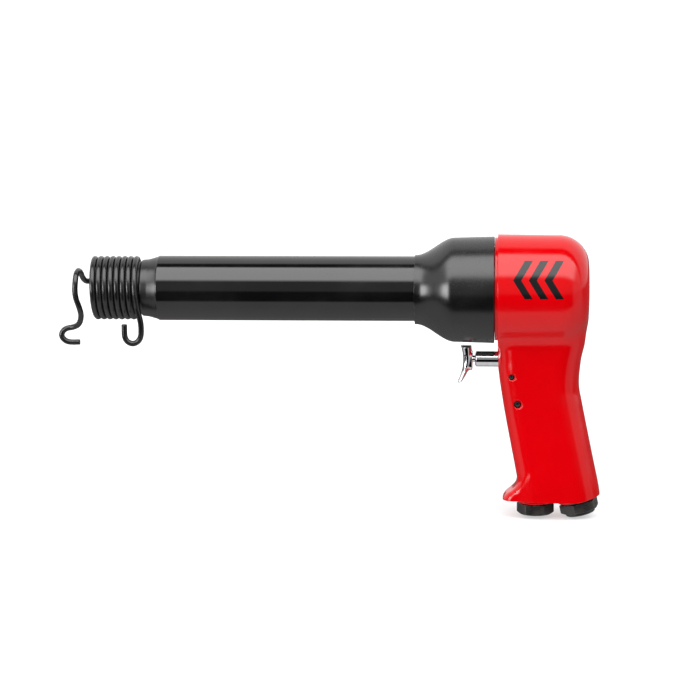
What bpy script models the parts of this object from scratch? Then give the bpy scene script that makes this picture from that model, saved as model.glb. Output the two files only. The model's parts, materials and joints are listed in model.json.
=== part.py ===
"""A pistol-grip pneumatic air hammer, as an assembly of separate parts.

Run it with blender --background --python part.py, or from Blender's text editor.
Units are metres, +Z is up, the barrel's nose points to -X and the handle's back to +X.
The origin is the centre of the flat end of the hexagonal plug under the grip.
Y = 0 is the plane that halves the tool.
"""

import math

import bpy
import bmesh
from mathutils import Matrix, Vector

MM = 0.001
GAP = 0.3 * MM

# Places that the rest is measured from.
FRONT_X = -24.3 * MM
AXIS_Z = 144.0 * MM
BARREL_AXIS = (FRONT_X, 0.0, AXIS_Z)
STEM_Z = 99.4 * MM
LEVER_PIVOT = Vector((-11.7 * MM, 0.0, 72.8 * MM))
STOP_PIN_PLACE = Vector((-15.5 * MM, 0.0, 90.1 * MM))
INLET_PLACE = (27.7 * MM, 0.0, 5.0 * MM)
INLET_TILT = math.radians(12.85)

# Barrel, nose to handle.
BARREL_RADIUS = 20.5 * MM
COLLAR_RADIUS = 18.1 * MM
NOSE_RADIUS = 16.7 * MM
NOSE_X = -254.0 * MM
COLLAR_FRONT_X = -225.9 * MM
SHOULDER_X = -214.3 * MM
SHANK_BORE = 6.45 * MM
PISTON_BORE = 9.55 * MM
BORE_FRONT_X = -212.0 * MM
THREAD_RADIUS = 22.9 * MM
VALVE_POCKET = 17.6 * MM
POCKET_X = -12.0 * MM
BARREL_END_X = 10.0 * MM
FLANGE_RADIUS = 28.0 * MM
FLANGE_X = (-8.5 * MM, -4.5 * MM)
SEAL_GROOVE_X = (-1.4 * MM, 1.2 * MM)
SEAL_GROOVE_RADIUS = 21.0 * MM
EXHAUST_X = -30.0 * MM
EXHAUST_RADIUS = 3.0 * MM

# Power unit in the head, and the pin that keeps the barrel from turning.
DOWEL_RADIUS = 14.3 * MM
BLOCK_RADIUS = 17.2 * MM
BLOCK_X = (-11.6 * MM, 6.0 * MM)
CAP_X = (6.3 * MM, 11.5 * MM)
LOCK_RADIUS = 25.9 * MM
LOCK_BORE = 1.8 * MM
LOCK_PLACE = (FRONT_X, 0.0, AXIS_Z + LOCK_RADIUS)

# Bell-shaped exhaust deflector.
BELL_LIP_X = -52.2 * MM
BELL_LIP_RADIUS = 21.9 * MM
BELL_FLARE_X = (-51.5 * MM, -27.0 * MM)
BELL_SHOULDER_RADIUS = 32.9 * MM
BELL_RADIUS = 33.6 * MM
BELL_WALL = 1.9 * MM
BELL_REAR_X = -2.2 * MM
BELL_FLANGE = 2.0 * MM
BELL_BORE = 23.5 * MM

# Handle.
HEAD_RADIUS = 35.0 * MM
HEAD_LENGTH = 57.8 * MM
HEAD_CORNER = (20.6 * MM, 19.5 * MM)
RIM_RADIUS = 32.4 * MM
RIM_LENGTH = 1.9 * MM
GRIP_HALF_WIDTH = 16.6 * MM
GRIP_CORNERS = (9.0 * MM, 13.0 * MM)
GRIP_BOTTOM_Z = 9.5 * MM
CAVITY_RADIUS = 23.4 * MM
CAVITY_DEPTH = 14.3 * MM
CHAMBER_RADIUS = 12.0 * MM
CHAMBER_DEPTH = 38.0 * MM
SLOT_HALF_WIDTH = 2.7 * MM
VALVE_BORE = 8.3 * MM
VALVE_BORE_TOP = 60.3 * MM
INLET_BORE = 9.05 * MM

# Retainer spring on the nose.
WIRE_RADIUS = 1.6 * MM
COIL_RADIUS = 18.65 * MM
COIL_FRONT_X = -255.7 * MM
COIL_PITCH = 3.8 * MM
COIL_TURNS = 7.25

# Trigger and throttle.
STEM_RADIUS = 5.0 * MM
STEM_BORE = 5.3 * MM
SPIGOT_RADIUS = 2.2 * MM
TRIGGER_HALF_WIDTH = 7.2 * MM
LEVER_HALF_THICKNESS = 2.0 * MM
LEVER_KNOB = 2.2 * MM
LEVER_HUB = 4.0 * MM
LEVER_NECK = 1.2 * MM
LEVER_PIN_RADIUS = 2.07 * MM
STOP_PIN_RADIUS = 1.6 * MM
PIN_HALF_LENGTH = 15.9 * MM
LEVER_TIP = LEVER_PIVOT.z + 26.6 * MM
PLUG_FLATS = 20.6 * MM
PLUG_CORNER = math.radians(57)
INLET_FLATS = 22.2 * MM
INLET_CORNER = math.radians(16)

FINE = 32
MEDIUM = 24
COARSE = 16

# (rgb, metallic, roughness)
RED_PAINT = ((0.70, 0.004, 0.006), 0.0, 0.28)
BLACK_OXIDE = ((0.022, 0.022, 0.024), 0.7, 0.36)
BLACK_STEEL = ((0.030, 0.030, 0.033), 0.6, 0.42)
CHROME = ((0.72, 0.73, 0.75), 1.0, 0.12)
GROUND_STEEL = ((0.48, 0.48, 0.50), 1.0, 0.28)
SPRING_STEEL = ((0.30, 0.30, 0.32), 1.0, 0.35)
BRASS = ((0.72, 0.52, 0.24), 1.0, 0.32)
RUBBER = ((0.015, 0.015, 0.015), 0.0, 0.75)
ACETAL = ((0.75, 0.74, 0.70), 0.0, 0.45)


# ---------------------------------------------------------------- scene and materials


def clear_scene():
    for old in list(bpy.data.objects):
        bpy.data.objects.remove(old, do_unlink=True)


def new_collection(name, helpers):
    made = bpy.data.collections.new(name)
    bpy.context.scene.collection.children.link(made)
    made.hide_render = helpers
    return made


def finish(obj, look):
    """Gives the part its own Principled material."""
    rgb, metallic, roughness = look
    material = bpy.data.materials.new(obj.name + "_material")
    material.use_nodes = True
    shader = material.node_tree.nodes["Principled BSDF"]
    shader.inputs["Base Color"].default_value = (*rgb, 1.0)
    shader.inputs["Metallic"].default_value = metallic
    shader.inputs["Roughness"].default_value = roughness
    obj.data.materials.clear()
    obj.data.materials.append(material)
    return obj


def add_object(name, data, place=(0, 0, 0), turn=(0, 0, 0), helper=False):
    obj = bpy.data.objects.new(name, data)
    (CUTTERS if helper else PARTS).objects.link(obj)
    obj.location = place
    obj.rotation_euler = turn
    if helper:
        obj.hide_render = True
        obj.display_type = "WIRE"
    return obj


# ---------------------------------------------------------------- shape helpers

UPRIGHT = (0.0, 0.0, 0.0)
ALONG_X = (0.0, math.pi / 2, 0.0)
ALONG_Y = (-math.pi / 2, 0.0, 0.0)
ALONG_INLET = (0.0, -INLET_TILT, 0.0)


def turned(name, outline, place, turn, steps=MEDIUM, ring=False, helper=False):
    """A Screw of (height, radius) points that run down the outer side, about the local Z axis.

    A ring is a closed outline; any other outline starts and ends on the axis.
    """
    mesh = bpy.data.meshes.new(name)
    points = [(radius, 0.0, height) for height, radius in outline]
    edges = [(i, i + 1) for i in range(len(points) - 1)]
    if ring:
        edges.append((len(points) - 1, 0))
    mesh.from_pydata(points, edges, [])
    obj = add_object(name, mesh, place, turn, helper)
    screw = obj.modifiers.new("Turn", "SCREW")
    screw.axis = "Z"
    screw.steps = steps
    screw.render_steps = steps
    screw.use_merge_vertices = True
    screw.merge_threshold = 0.00001
    screw.use_smooth_shade = True
    return obj


def rod(name, radius, low, high, place, turn, steps=MEDIUM, helper=False):
    outline = [(high, 0.0), (high, radius), (low, radius), (low, 0.0)]
    return turned(name, outline, place, turn, steps, helper=helper)


def tube(name, inner, outer, low, high, place, turn, steps=MEDIUM, helper=False):
    outline = [(high, outer), (low, outer), (low, inner), (high, inner)]
    return turned(name, outline, place, turn, steps, ring=True, helper=helper)


def box_cutter(name, low, high):
    """A box between two corners, to cut with."""
    mesh = bpy.data.meshes.new(name)
    shape = bmesh.new()
    bmesh.ops.create_cube(shape, size=1.0)
    size = Vector(high) - Vector(low)
    bmesh.ops.scale(shape, vec=size, verts=shape.verts)
    bmesh.ops.translate(shape, vec=(Vector(high) + Vector(low)) / 2, verts=shape.verts)
    shape.to_mesh(mesh)
    shape.free()
    return add_object(name, mesh, helper=True)


def boolean(obj, other, operation):
    step = obj.modifiers.new(operation.title(), "BOOLEAN")
    step.operation = operation
    step.solver = "EXACT"
    step.object = other
    return obj


def cut(obj, *cutters):
    for cutter in cutters:
        boolean(obj, cutter, "DIFFERENCE")
    return obj


def hexagon(name, flats, low, high, place, turn, spin, chamfered_low):
    """A hexagonal head, with the corners of its outer end turned off as on a nut."""
    corner = flats / math.sqrt(3)
    mesh = bpy.data.meshes.new(name)
    shape = bmesh.new()
    around = Matrix.Translation((0, 0, (low + high) / 2)) @ Matrix.Rotation(spin, 4, "Z")
    bmesh.ops.create_cone(
        shape, cap_ends=True, segments=6, radius1=corner, radius2=corner,
        depth=high - low, matrix=around,
    )
    shape.to_mesh(mesh)
    shape.free()
    obj = add_object(name, mesh, place, turn)
    chamfer = 1.1 * MM
    outline = [(high + MM, 0.0), (high + MM, corner + MM), (low + chamfer, corner + 0.3 * MM)]
    if chamfered_low:
        outline += [(low, flats / 2 - 0.3 * MM), (low - MM, flats / 2 - 2 * MM)]
    outline += [(outline[-1][0], 0.0)]
    trim = turned(name + "_trim", outline, place, turn, FINE, helper=True)
    return boolean(obj, trim, "INTERSECT")


def as_mesh(curve_obj):
    """Replaces a curve object by its own mesh, with the caps welded on."""
    bpy.context.view_layer.update()
    graph = bpy.context.evaluated_depsgraph_get()
    mesh = bpy.data.meshes.new_from_object(curve_obj.evaluated_get(graph))
    name = curve_obj.name
    matrix = curve_obj.matrix_world.copy()
    helper = curve_obj.hide_render
    bpy.data.objects.remove(curve_obj, do_unlink=True)
    shape = bmesh.new()
    shape.from_mesh(mesh)
    bmesh.ops.remove_doubles(shape, verts=shape.verts, dist=0.000001)
    bmesh.ops.recalc_face_normals(shape, faces=shape.faces)
    shape.to_mesh(mesh)
    shape.free()
    obj = add_object(name, mesh, helper=helper)
    obj.matrix_world = matrix
    return obj


def plate(name, outline, half_thickness, place):
    """A flat outline of (x, z) points, standing in the XZ plane and thick in Y."""
    curve = bpy.data.curves.new(name, "CURVE")
    curve.dimensions = "2D"
    curve.fill_mode = "BOTH"
    curve.extrude = half_thickness
    spline = curve.splines.new("POLY")
    spline.points.add(len(outline) - 1)
    for point, (x, z) in zip(spline.points, outline):
        point.co = (x, z, 0.0, 1.0)
    spline.use_cyclic_u = True
    return as_mesh(add_object(name, curve, place, (math.pi / 2, 0.0, 0.0)))


def wire(name, points, radius, place):
    """A round wire through the points."""
    curve = bpy.data.curves.new(name, "CURVE")
    curve.dimensions = "3D"
    curve.bevel_depth = radius
    curve.bevel_resolution = 2
    curve.use_fill_caps = True
    spline = curve.splines.new("POLY")
    spline.points.add(len(points) - 1)
    for point, co in zip(spline.points, points):
        point.co = (*co, 1.0)
    return add_object(name, curve, place)


def arc(centre, radius, start, end, count):
    """Points of an arc in a plane, angles in degrees, both ends included."""
    found = []
    for i in range(count):
        angle = math.radians(start + (end - start) * i / (count - 1))
        found.append((centre[0] + radius * math.cos(angle), centre[1] + radius * math.sin(angle)))
    return found


def smooth_path(knots, per_span):
    """Points of a Catmull-Rom curve through the knots."""
    knots = [Vector(k) for k in knots]
    padded = [2 * knots[0] - knots[1]] + knots + [2 * knots[-1] - knots[-2]]
    found = []
    for i in range(1, len(padded) - 2):
        a, b, c, d = padded[i - 1], padded[i], padded[i + 1], padded[i + 2]
        for j in range(per_span):
            t = j / per_span
            found.append(
                0.5 * (2 * b + (c - a) * t + (2 * a - 5 * b + 4 * c - d) * t ** 2
                       + (3 * b - a - 3 * c + d) * t ** 3)
            )
    found.append(knots[-1])
    return found


# ---------------------------------------------------------------- handle


def head_blank():
    """The round head: a cylinder about the barrel's axis with a rounded back and a front rim."""
    corner_x, corner_r = HEAD_CORNER
    outline = [(HEAD_LENGTH, 0.0)]
    for i in range(7):
        angle = math.pi / 2 * i / 6
        outline.append((
            HEAD_LENGTH - corner_x + corner_x * math.cos(angle),
            HEAD_RADIUS - corner_r + corner_r * math.sin(angle),
        ))
    outline += [(0.0, HEAD_RADIUS), (0.0, RIM_RADIUS), (-RIM_LENGTH, RIM_RADIUS), (-RIM_LENGTH, 0.0)]
    return turned("handle", outline, BARREL_AXIS, ALONG_X, FINE)


# (height, front x, back x) of the grip, from inside the head down to the toe.
GRIP_LEVELS = [
    (143.0, -18.0, 24.0),
    (131.0, -21.0, 32.6),
    (114.4, -24.0, 31.6),
    (106.7, -24.0, 30.1),
    (98.0, -24.0, 28.2),
    (89.0, -23.4, 27.2),
    (81.0, -21.8, 27.1),
    (70.7, -20.2, 28.8),
    (39.8, -14.4, 34.8),
    (24.4, -11.5, 37.9),
    (19.0, -13.2, 38.9),
    (14.5, -18.0, 39.6),
    (11.5, -20.4, 38.9),
    (9.5, -19.6, 37.6),
]


def grip_section(front, back, half_width):
    """One level of the grip: an oval with a tighter front and a fuller back, seen from above."""
    front_corner, back_corner = GRIP_CORNERS
    corners = [
        ((front + front_corner, -half_width + front_corner), front_corner, 180, 270),
        ((back - back_corner, -half_width + back_corner), back_corner, 270, 360),
        ((back - back_corner, half_width - back_corner), back_corner, 0, 90),
        ((front + front_corner, half_width - front_corner), front_corner, 90, 180),
    ]
    found = []
    for centre, radius, start, end in corners:
        found += arc(centre, radius, start, end, 6)
    return found


def grip_blank():
    """The grip: a loft of level sections, which no primitive makes."""
    mesh = bpy.data.meshes.new("grip")
    shape = bmesh.new()
    rings = []
    for height, front, back in GRIP_LEVELS:
        section = grip_section(front * MM, back * MM, GRIP_HALF_WIDTH)
        rings.append([shape.verts.new((x, y, height * MM)) for x, y in section])
    for upper, lower in zip(rings, rings[1:]):
        for i in range(len(upper)):
            j = (i + 1) % len(upper)
            shape.faces.new((upper[i], upper[j], lower[j], lower[i]))
    shape.faces.new(rings[0])
    shape.faces.new(rings[-1])
    bmesh.ops.recalc_face_normals(shape, faces=shape.faces)
    shape.to_mesh(mesh)
    shape.free()
    return add_object("grip", mesh, helper=True)


def handle():
    """One casting: head, grip and two bosses, hollowed for the power unit, lever, valve and inlet."""
    obj = head_blank()
    boolean(obj, grip_blank(), "UNION")
    # The toe's underside is level in front and square to the inlet behind.
    cut(obj, rod("toe_cut", 24.0 * MM, -30 * MM, 5.0 * MM, INLET_PLACE, ALONG_INLET, FINE, helper=True))
    plug_boss = rod("plug_boss", 10.6 * MM, 8.0 * MM, 30 * MM, (0, 0, 0), UPRIGHT, MEDIUM, helper=True)
    inlet_boss = rod("inlet_boss", 13.0 * MM, 4.3 * MM, 30 * MM, INLET_PLACE, ALONG_INLET, MEDIUM,
                     helper=True)
    boolean(obj, plug_boss, "UNION")
    boolean(obj, inlet_boss, "UNION")
    socket = turned("socket_cut", [
        (CHAMBER_DEPTH, 0.0), (CHAMBER_DEPTH, CHAMBER_RADIUS), (CAVITY_DEPTH, CHAMBER_RADIUS),
        (CAVITY_DEPTH, CAVITY_RADIUS), (-5 * MM, CAVITY_RADIUS), (-5 * MM, 0.0),
    ], BARREL_AXIS, ALONG_X, FINE, helper=True)
    stem_bore = rod("stem_cut", STEM_BORE, -5 * MM, 24.8 * MM, (FRONT_X, 0, STEM_Z), ALONG_X,
                    MEDIUM, helper=True)
    slot = box_cutter(
        "lever_slot_cut",
        (LEVER_PIVOT.x - 4.8 * MM, -SLOT_HALF_WIDTH, LEVER_PIVOT.z - 6.3 * MM),
        (4.2 * MM, SLOT_HALF_WIDTH, STEM_Z + 2 * MM),
    )
    riser = rod("riser_cut", 4.0 * MM, STEM_Z - 6 * MM, AXIS_Z - 8 * MM, (1.7 * MM, 0, 0), UPRIGHT,
                COARSE, helper=True)
    valve_bore = turned("valve_cut", [
        (LEVER_PIVOT.z - 3 * MM, 0.0), (LEVER_PIVOT.z - 3 * MM, 4.2 * MM), (VALVE_BORE_TOP, 4.2 * MM),
        (VALVE_BORE_TOP, VALVE_BORE), (-5 * MM, VALVE_BORE), (-5 * MM, 0.0),
    ], (0, 0, 0), UPRIGHT, MEDIUM, helper=True)
    inlet_bore = rod("inlet_cut", INLET_BORE, -20 * MM, 34 * MM, INLET_PLACE, ALONG_INLET, FINE,
                     helper=True)
    cross_port = rod("cross_port_cut", 3.5 * MM, 0.0, 18 * MM, (0, 0, 31 * MM), ALONG_X, COARSE,
                     helper=True)
    lever_pin_hole = rod("lever_pin_cut", LEVER_PIN_RADIUS + GAP, -30 * MM, 30 * MM, LEVER_PIVOT,
                         ALONG_Y, COARSE, helper=True)
    stop_pin_hole = rod("stop_pin_cut", STOP_PIN_RADIUS + GAP, -30 * MM, 30 * MM, STOP_PIN_PLACE,
                        ALONG_Y, COARSE, helper=True)
    lock_hole = rod("handle_lock_cut", LOCK_BORE, -5 * MM, 4.3 * MM, LOCK_PLACE, ALONG_X, COARSE,
                    helper=True)
    for cutter in (inlet_bore, socket, stem_bore, slot, riser, valve_bore, cross_port,
                   lever_pin_hole, stop_pin_hole, lock_hole):
        # A Boolean on long uneven faces can leave gaps, so they are split first.
        obj.modifiers.new("Triangulate", "TRIANGULATE")
        cut(obj, cutter)
    return finish(obj, RED_PAINT)


# ---------------------------------------------------------------- barrel and power unit


def barrel():
    """Barrel with its thread, flange, long tube, waisted collar and plain nose."""
    flange_front, flange_back = FLANGE_X
    groove_front, groove_back = SEAL_GROOVE_X
    waist = [(SHOULDER_X, BARREL_RADIUS), (-217.8 * MM, 19.2 * MM), (-221.0 * MM, 18.3 * MM)]
    outline = [
        (BARREL_END_X, THREAD_RADIUS), (groove_back, THREAD_RADIUS),
        (groove_back, SEAL_GROOVE_RADIUS), (groove_front, SEAL_GROOVE_RADIUS),
        (groove_front, THREAD_RADIUS), (flange_back, THREAD_RADIUS),
        (flange_back, FLANGE_RADIUS), (flange_front, FLANGE_RADIUS), (flange_front, BARREL_RADIUS),
        *waist,
        (-223.0 * MM, COLLAR_RADIUS), (COLLAR_FRONT_X + 0.6 * MM, COLLAR_RADIUS),
        (COLLAR_FRONT_X, COLLAR_RADIUS - 0.6 * MM), (COLLAR_FRONT_X, NOSE_RADIUS),
        (NOSE_X + 0.6 * MM, NOSE_RADIUS), (NOSE_X, NOSE_RADIUS - 0.6 * MM),
        (NOSE_X, SHANK_BORE + 0.9 * MM), (NOSE_X + 0.9 * MM, SHANK_BORE),
        (BORE_FRONT_X, SHANK_BORE), (BORE_FRONT_X, PISTON_BORE), (POCKET_X, PISTON_BORE),
        (POCKET_X, VALVE_POCKET), (BARREL_END_X, VALVE_POCKET),
    ]
    obj = turned("barrel", outline, BARREL_AXIS, ALONG_X, FINE, ring=True)
    for i, turn in enumerate(((0, 0, 0), (math.pi / 2, 0, 0))):
        place = (FRONT_X + EXHAUST_X, 0.0, AXIS_Z)
        port = rod(f"exhaust_cut_{i}", EXHAUST_RADIUS, -26 * MM, 26 * MM, place, turn, COARSE,
                   helper=True)
        cut(obj, port)
    cut(obj, rod("barrel_lock_cut", LOCK_BORE, -7.3 * MM, 0.0, LOCK_PLACE, ALONG_X, COARSE, helper=True))
    return finish(obj, BLACK_OXIDE)


def bell_radius(x):
    """Outer radius of the deflector at x from the handle's front face."""
    low, high = BELL_FLARE_X
    t = min(1.0, max(0.0, (x - low) / (high - low)))
    flare = t * t * (3 - 2 * t)
    rise = max(0.0, (x - high) / (BELL_REAR_X - high))
    return (
        BELL_LIP_RADIUS
        + (BELL_SHOULDER_RADIUS - BELL_LIP_RADIUS) * flare
        + (BELL_RADIUS - BELL_SHOULDER_RADIUS) * rise
    )


def exhaust_deflector():
    """A bell round the exhaust ports, open in a thin ring round the barrel at its front lip."""
    stations = [BELL_REAR_X, BELL_FLARE_X[1]]
    stations += [BELL_FLARE_X[1] + (BELL_LIP_X - BELL_FLARE_X[1]) * i / 9 for i in range(1, 10)]
    outer = [(x, bell_radius(x)) for x in stations]
    flange_x = BELL_REAR_X - BELL_FLANGE
    inner = [(BELL_LIP_X, BELL_LIP_RADIUS - 0.7 * MM)]
    inner += [(x, bell_radius(x) - BELL_WALL) for x in reversed(stations[1:-2])]
    inner += [(flange_x, BELL_RADIUS - BELL_WALL), (flange_x, BELL_BORE), (BELL_REAR_X, BELL_BORE)]
    obj = turned("exhaust_deflector", outer + inner, BARREL_AXIS, ALONG_X, FINE, ring=True)
    hole = rod("deflector_lock_cut", LOCK_BORE, -6 * MM, 0.0, LOCK_PLACE, ALONG_X, COARSE, helper=True)
    return finish(cut(obj, hole), BLACK_OXIDE)


def barrel_lock_pin():
    obj = rod("barrel_lock_pin", 1.5 * MM, -7.0 * MM, 4.0 * MM, LOCK_PLACE, ALONG_X, COARSE)
    return finish(obj, GROUND_STEEL)


def barrel_seal():
    groove_front, groove_back = SEAL_GROOVE_X
    obj = tube("barrel_seal", SEAL_GROOVE_RADIUS + GAP, CAVITY_RADIUS - 1.2 * GAP, groove_front + GAP,
               groove_back - GAP, BARREL_AXIS, ALONG_X, FINE)
    return finish(obj, RUBBER)


def piston():
    """The striker, at rest against the valve block, with a reduced striking end."""
    outline = [
        (-12.6 * MM, 0.0), (-12.6 * MM, 7.6 * MM), (-14.0 * MM, 9.1 * MM), (-34 * MM, 9.1 * MM),
        (-34.6 * MM, 8.5 * MM), (-37.4 * MM, 8.5 * MM), (-38 * MM, 9.1 * MM), (-62 * MM, 9.1 * MM),
        (-66 * MM, 6.4 * MM), (-75 * MM, 6.1 * MM), (-76 * MM, 5.0 * MM), (-76 * MM, 0.0),
    ]
    return finish(turned("piston", outline, BARREL_AXIS, ALONG_X, MEDIUM), GROUND_STEEL)


def ring_of_holes(name, count, hole_radius, pitch_radius, low, high, spin=0.0):
    """Holes along the barrel's axis, on a circle about it."""
    made = []
    for i in range(count):
        angle = spin + 2 * math.pi * i / count
        place = (FRONT_X, pitch_radius * math.sin(angle), AXIS_Z + pitch_radius * math.cos(angle))
        made.append(rod(f"{name}_{i}", hole_radius, low, high, place, ALONG_X, COARSE, helper=True))
    return made


def valve_block():
    front, back = BLOCK_X
    outline = [
        (back, BLOCK_RADIUS), (front, BLOCK_RADIUS), (front, 5.0 * MM), (-5.0 * MM, 5.0 * MM),
        (-5.0 * MM, 11.3 * MM), (back, 11.3 * MM),
    ]
    obj = turned("valve_block", outline, BARREL_AXIS, ALONG_X, MEDIUM, ring=True)
    cut(obj, *ring_of_holes("block_port_cut", 3, 1.5 * MM, DOWEL_RADIUS, front - MM, back + MM, math.pi / 3))
    cut(obj, *ring_of_holes("block_dowel_cut", 1, 1.5 * MM, DOWEL_RADIUS, -9.0 * MM, back + MM))
    return finish(obj, GROUND_STEEL)


def shuttle_valve():
    """The flow-reversing spool, which shuttles to and fro in the block."""
    outline = [
        (3.0 * MM, 8.0 * MM), (0.4 * MM, 8.0 * MM), (0.4 * MM, 10.9 * MM), (-4.6 * MM, 10.9 * MM),
        (-4.6 * MM, 5.4 * MM), (3.0 * MM, 5.4 * MM),
    ]
    return finish(turned("shuttle_valve", outline, BARREL_AXIS, ALONG_X, MEDIUM, ring=True), ACETAL)


def valve_cap():
    front, back = CAP_X
    obj = rod("valve_cap", BLOCK_RADIUS, front, back, BARREL_AXIS, ALONG_X, MEDIUM)
    cut(obj, *ring_of_holes("cap_port_cut", 4, 1.6 * MM, 6.5 * MM, front - MM, back + MM, math.pi / 4))
    cut(obj, *ring_of_holes("cap_dowel_cut", 1, 1.5 * MM, DOWEL_RADIUS, front - MM, back - MM))
    return finish(obj, GROUND_STEEL)


def valve_dowel_pin():
    place = (FRONT_X, 0.0, AXIS_Z + DOWEL_RADIUS)
    obj = rod("valve_dowel_pin", 1.2 * MM, -8.7 * MM, 10.2 * MM, place, ALONG_X, COARSE)
    return finish(obj, GROUND_STEEL)


def valve_washer():
    """A coned spring washer that presses the valve cap home."""
    outline = [
        (14.0 * MM, 13.6 * MM), (12.8 * MM, 17.0 * MM), (11.8 * MM, 17.0 * MM), (13.0 * MM, 13.2 * MM),
    ]
    obj = turned("valve_washer", outline, BARREL_AXIS, ALONG_X, MEDIUM, ring=True)
    return finish(obj, SPRING_STEEL)


# ---------------------------------------------------------------- retainer spring


def spring_coil():
    """The close-wound body, from the top of its first turn to the near side of its last."""
    steps = round(COIL_TURNS * 16)
    found = []
    for i in range(steps + 1):
        angle = 2 * math.pi * COIL_TURNS * i / steps
        x = COIL_FRONT_X + COIL_PITCH * angle / (2 * math.pi)
        found.append((x, -COIL_RADIUS * math.sin(angle), COIL_RADIUS * math.cos(angle)))
    return found


# (x, y, z) from the middle of the handle's front face: the wire leaves the far side of the first
# turn, arches over the tool's shank, runs down its near side and ends in a finger curl.
FRONT_HOOK = [
    (-266.3, -1.0, -34.9), (-273.2, -1.0, -34.9), (-276.6, -1.0, -33.2), (-278.0, -1.0, -30.6),
    (-277.1, -1.0, -27.9), (-274.6, -1.4, -26.1), (-270.6, -2.0, -25.2), (-267.0, -3.8, -23.5),
    (-264.9, -6.0, -20.4), (-264.0, -8.6, -15.6), (-265.0, -10.8, -10.2), (-266.5, -11.9, -5.0),
    (-266.9, -12.1, 0.0), (-266.7, -11.4, 5.0), (-266.6, -8.0, 9.4), (-266.4, -1.0, 11.0),
    (-266.2, 6.5, 8.7), (-266.0, 12.0, 5.0), (-264.6, 16.0, 2.3), (-262.0, 18.4, 2.0),
    (-258.8, 18.8, 4.6), (-257.0, 16.6, 9.0), (-256.2, 9.8, 16.0),
]
# The last turn runs off downwards and ends in a hook below the coil.
REAR_HOOK = [
    (-227.4, -18.6, -5.4), (-226.5, -18.5, -11.6), (-225.1, -18.2, -16.8), (-224.4, -17.9, -21.0),
    (-224.4, -17.2, -25.4), (-225.0, -16.4, -29.4), (-227.1, -15.8, -32.4), (-230.2, -15.5, -33.6),
    (-233.3, -15.5, -32.4), (-235.0, -15.5, -29.6), (-235.3, -15.5, -26.2), (-235.3, -15.5, -21.3),
]


def retainer_spring():
    front = [(x * MM, y * MM, z * MM) for x, y, z in FRONT_HOOK]
    rear = [(x * MM, y * MM, z * MM) for x, y, z in REAR_HOOK]
    coil = spring_coil()
    lead_in = smooth_path(front + [coil[0], coil[1]], 2)[:-3]
    run_off = smooth_path([coil[-2], coil[-1]] + rear, 2)[3:]
    points = [tuple(p) for p in lead_in] + coil + [tuple(p) for p in run_off]
    return finish(wire("retainer_spring", points, WIRE_RADIUS, BARREL_AXIS), BLACK_STEEL)


# ---------------------------------------------------------------- trigger


def trigger():
    """A crescent finger plate with a flat top and a block at its back that takes the stem's end."""
    back = -15.9 * MM
    hollow = arc((-51.8 * MM, -0.5 * MM), 30.0 * MM, 12.9, -28.2, 7)
    outline = [(-23.3 * MM, 8.0 * MM), (-23.3 * MM, 6.9 * MM), *hollow, (-24.8 * MM, -15.1 * MM)]
    outline += [(-23.3 * MM, -15.1 * MM), (-20.4 * MM, -10.4 * MM), (-18.6 * MM, -7.2 * MM)]
    outline += [(back, -7.2 * MM), (back, 4.8 * MM), (-16.9 * MM, 6.2 * MM), (-16.9 * MM, 8.0 * MM)]
    obj = plate("trigger", outline, TRIGGER_HALF_WIDTH, (FRONT_X, 0, STEM_Z))
    hole = rod("trigger_cut", SPIGOT_RADIUS + GAP, -20.2 * MM, -10 * MM, (FRONT_X, 0, STEM_Z), ALONG_X,
               COARSE, helper=True)
    return finish(cut(obj, hole), CHROME)


def trigger_stem():
    """The push rod: a spigot in the finger plate, a seal groove and a notch for the lever's knob."""
    outline = [
        (18.0 * MM, 0.0), (18.0 * MM, STEM_RADIUS), (7.1 * MM, STEM_RADIUS), (7.1 * MM, 3.6 * MM),
        (4.3 * MM, 3.6 * MM), (4.3 * MM, STEM_RADIUS), (-13.8 * MM, STEM_RADIUS),
        (-14.3 * MM, 4.5 * MM), (-14.3 * MM, SPIGOT_RADIUS), (-19.9 * MM, SPIGOT_RADIUS),
        (-19.9 * MM, 0.0),
    ]
    obj = turned("trigger_stem", outline, (FRONT_X, 0, STEM_Z), ALONG_X, MEDIUM)
    half = LEVER_KNOB + GAP
    notch = box_cutter(
        "notch_cut",
        (LEVER_PIVOT.x - half, -8 * MM, STEM_Z - 8 * MM),
        (LEVER_PIVOT.x + half, 8 * MM, STEM_Z + LEVER_KNOB + GAP),
    )
    return finish(cut(obj, notch), CHROME)


def trigger_stem_seal():
    obj = tube("trigger_stem_seal", 3.9 * MM, 5.15 * MM, 4.6 * MM, 6.8 * MM, (FRONT_X, 0, STEM_Z),
               ALONG_X, MEDIUM)
    return finish(obj, RUBBER)


# ---------------------------------------------------------------- throttle


def lever_outline():
    """The bell crank, round its pivot: knob at the top, round pad towards the back."""
    rise = LEVER_TIP - LEVER_PIVOT.z
    reach = -LEVER_PIVOT.x
    neck = rise - 5 * MM
    knob = arc((0.0, rise), LEVER_KNOB, -50, 230, 9)
    hub = arc((0.0, 0.0), LEVER_HUB, 180, 290, 6)
    pad = arc((reach, 0.0), LEVER_KNOB, -90, 90, 6)
    return (
        [(LEVER_NECK, neck), *knob, (-LEVER_NECK, neck), *hub, *pad, (LEVER_HUB, 2.4 * MM)]
    )


def throttle_lever():
    obj = plate("throttle_lever", lever_outline(), LEVER_HALF_THICKNESS, LEVER_PIVOT)
    hole = rod("lever_cut", LEVER_PIN_RADIUS + GAP, -5 * MM, 5 * MM, LEVER_PIVOT, ALONG_Y, COARSE,
               helper=True)
    return finish(cut(obj, hole), GROUND_STEEL)


def cross_pin(name, radius, place):
    edge = 0.4 * MM
    half = PIN_HALF_LENGTH
    outline = [
        (half, 0.0), (half, radius - edge), (half - edge, radius), (edge - half, radius),
        (-half, radius - edge), (-half, 0.0),
    ]
    return finish(turned(name, outline, place, ALONG_Y, COARSE), BLACK_STEEL)


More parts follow.
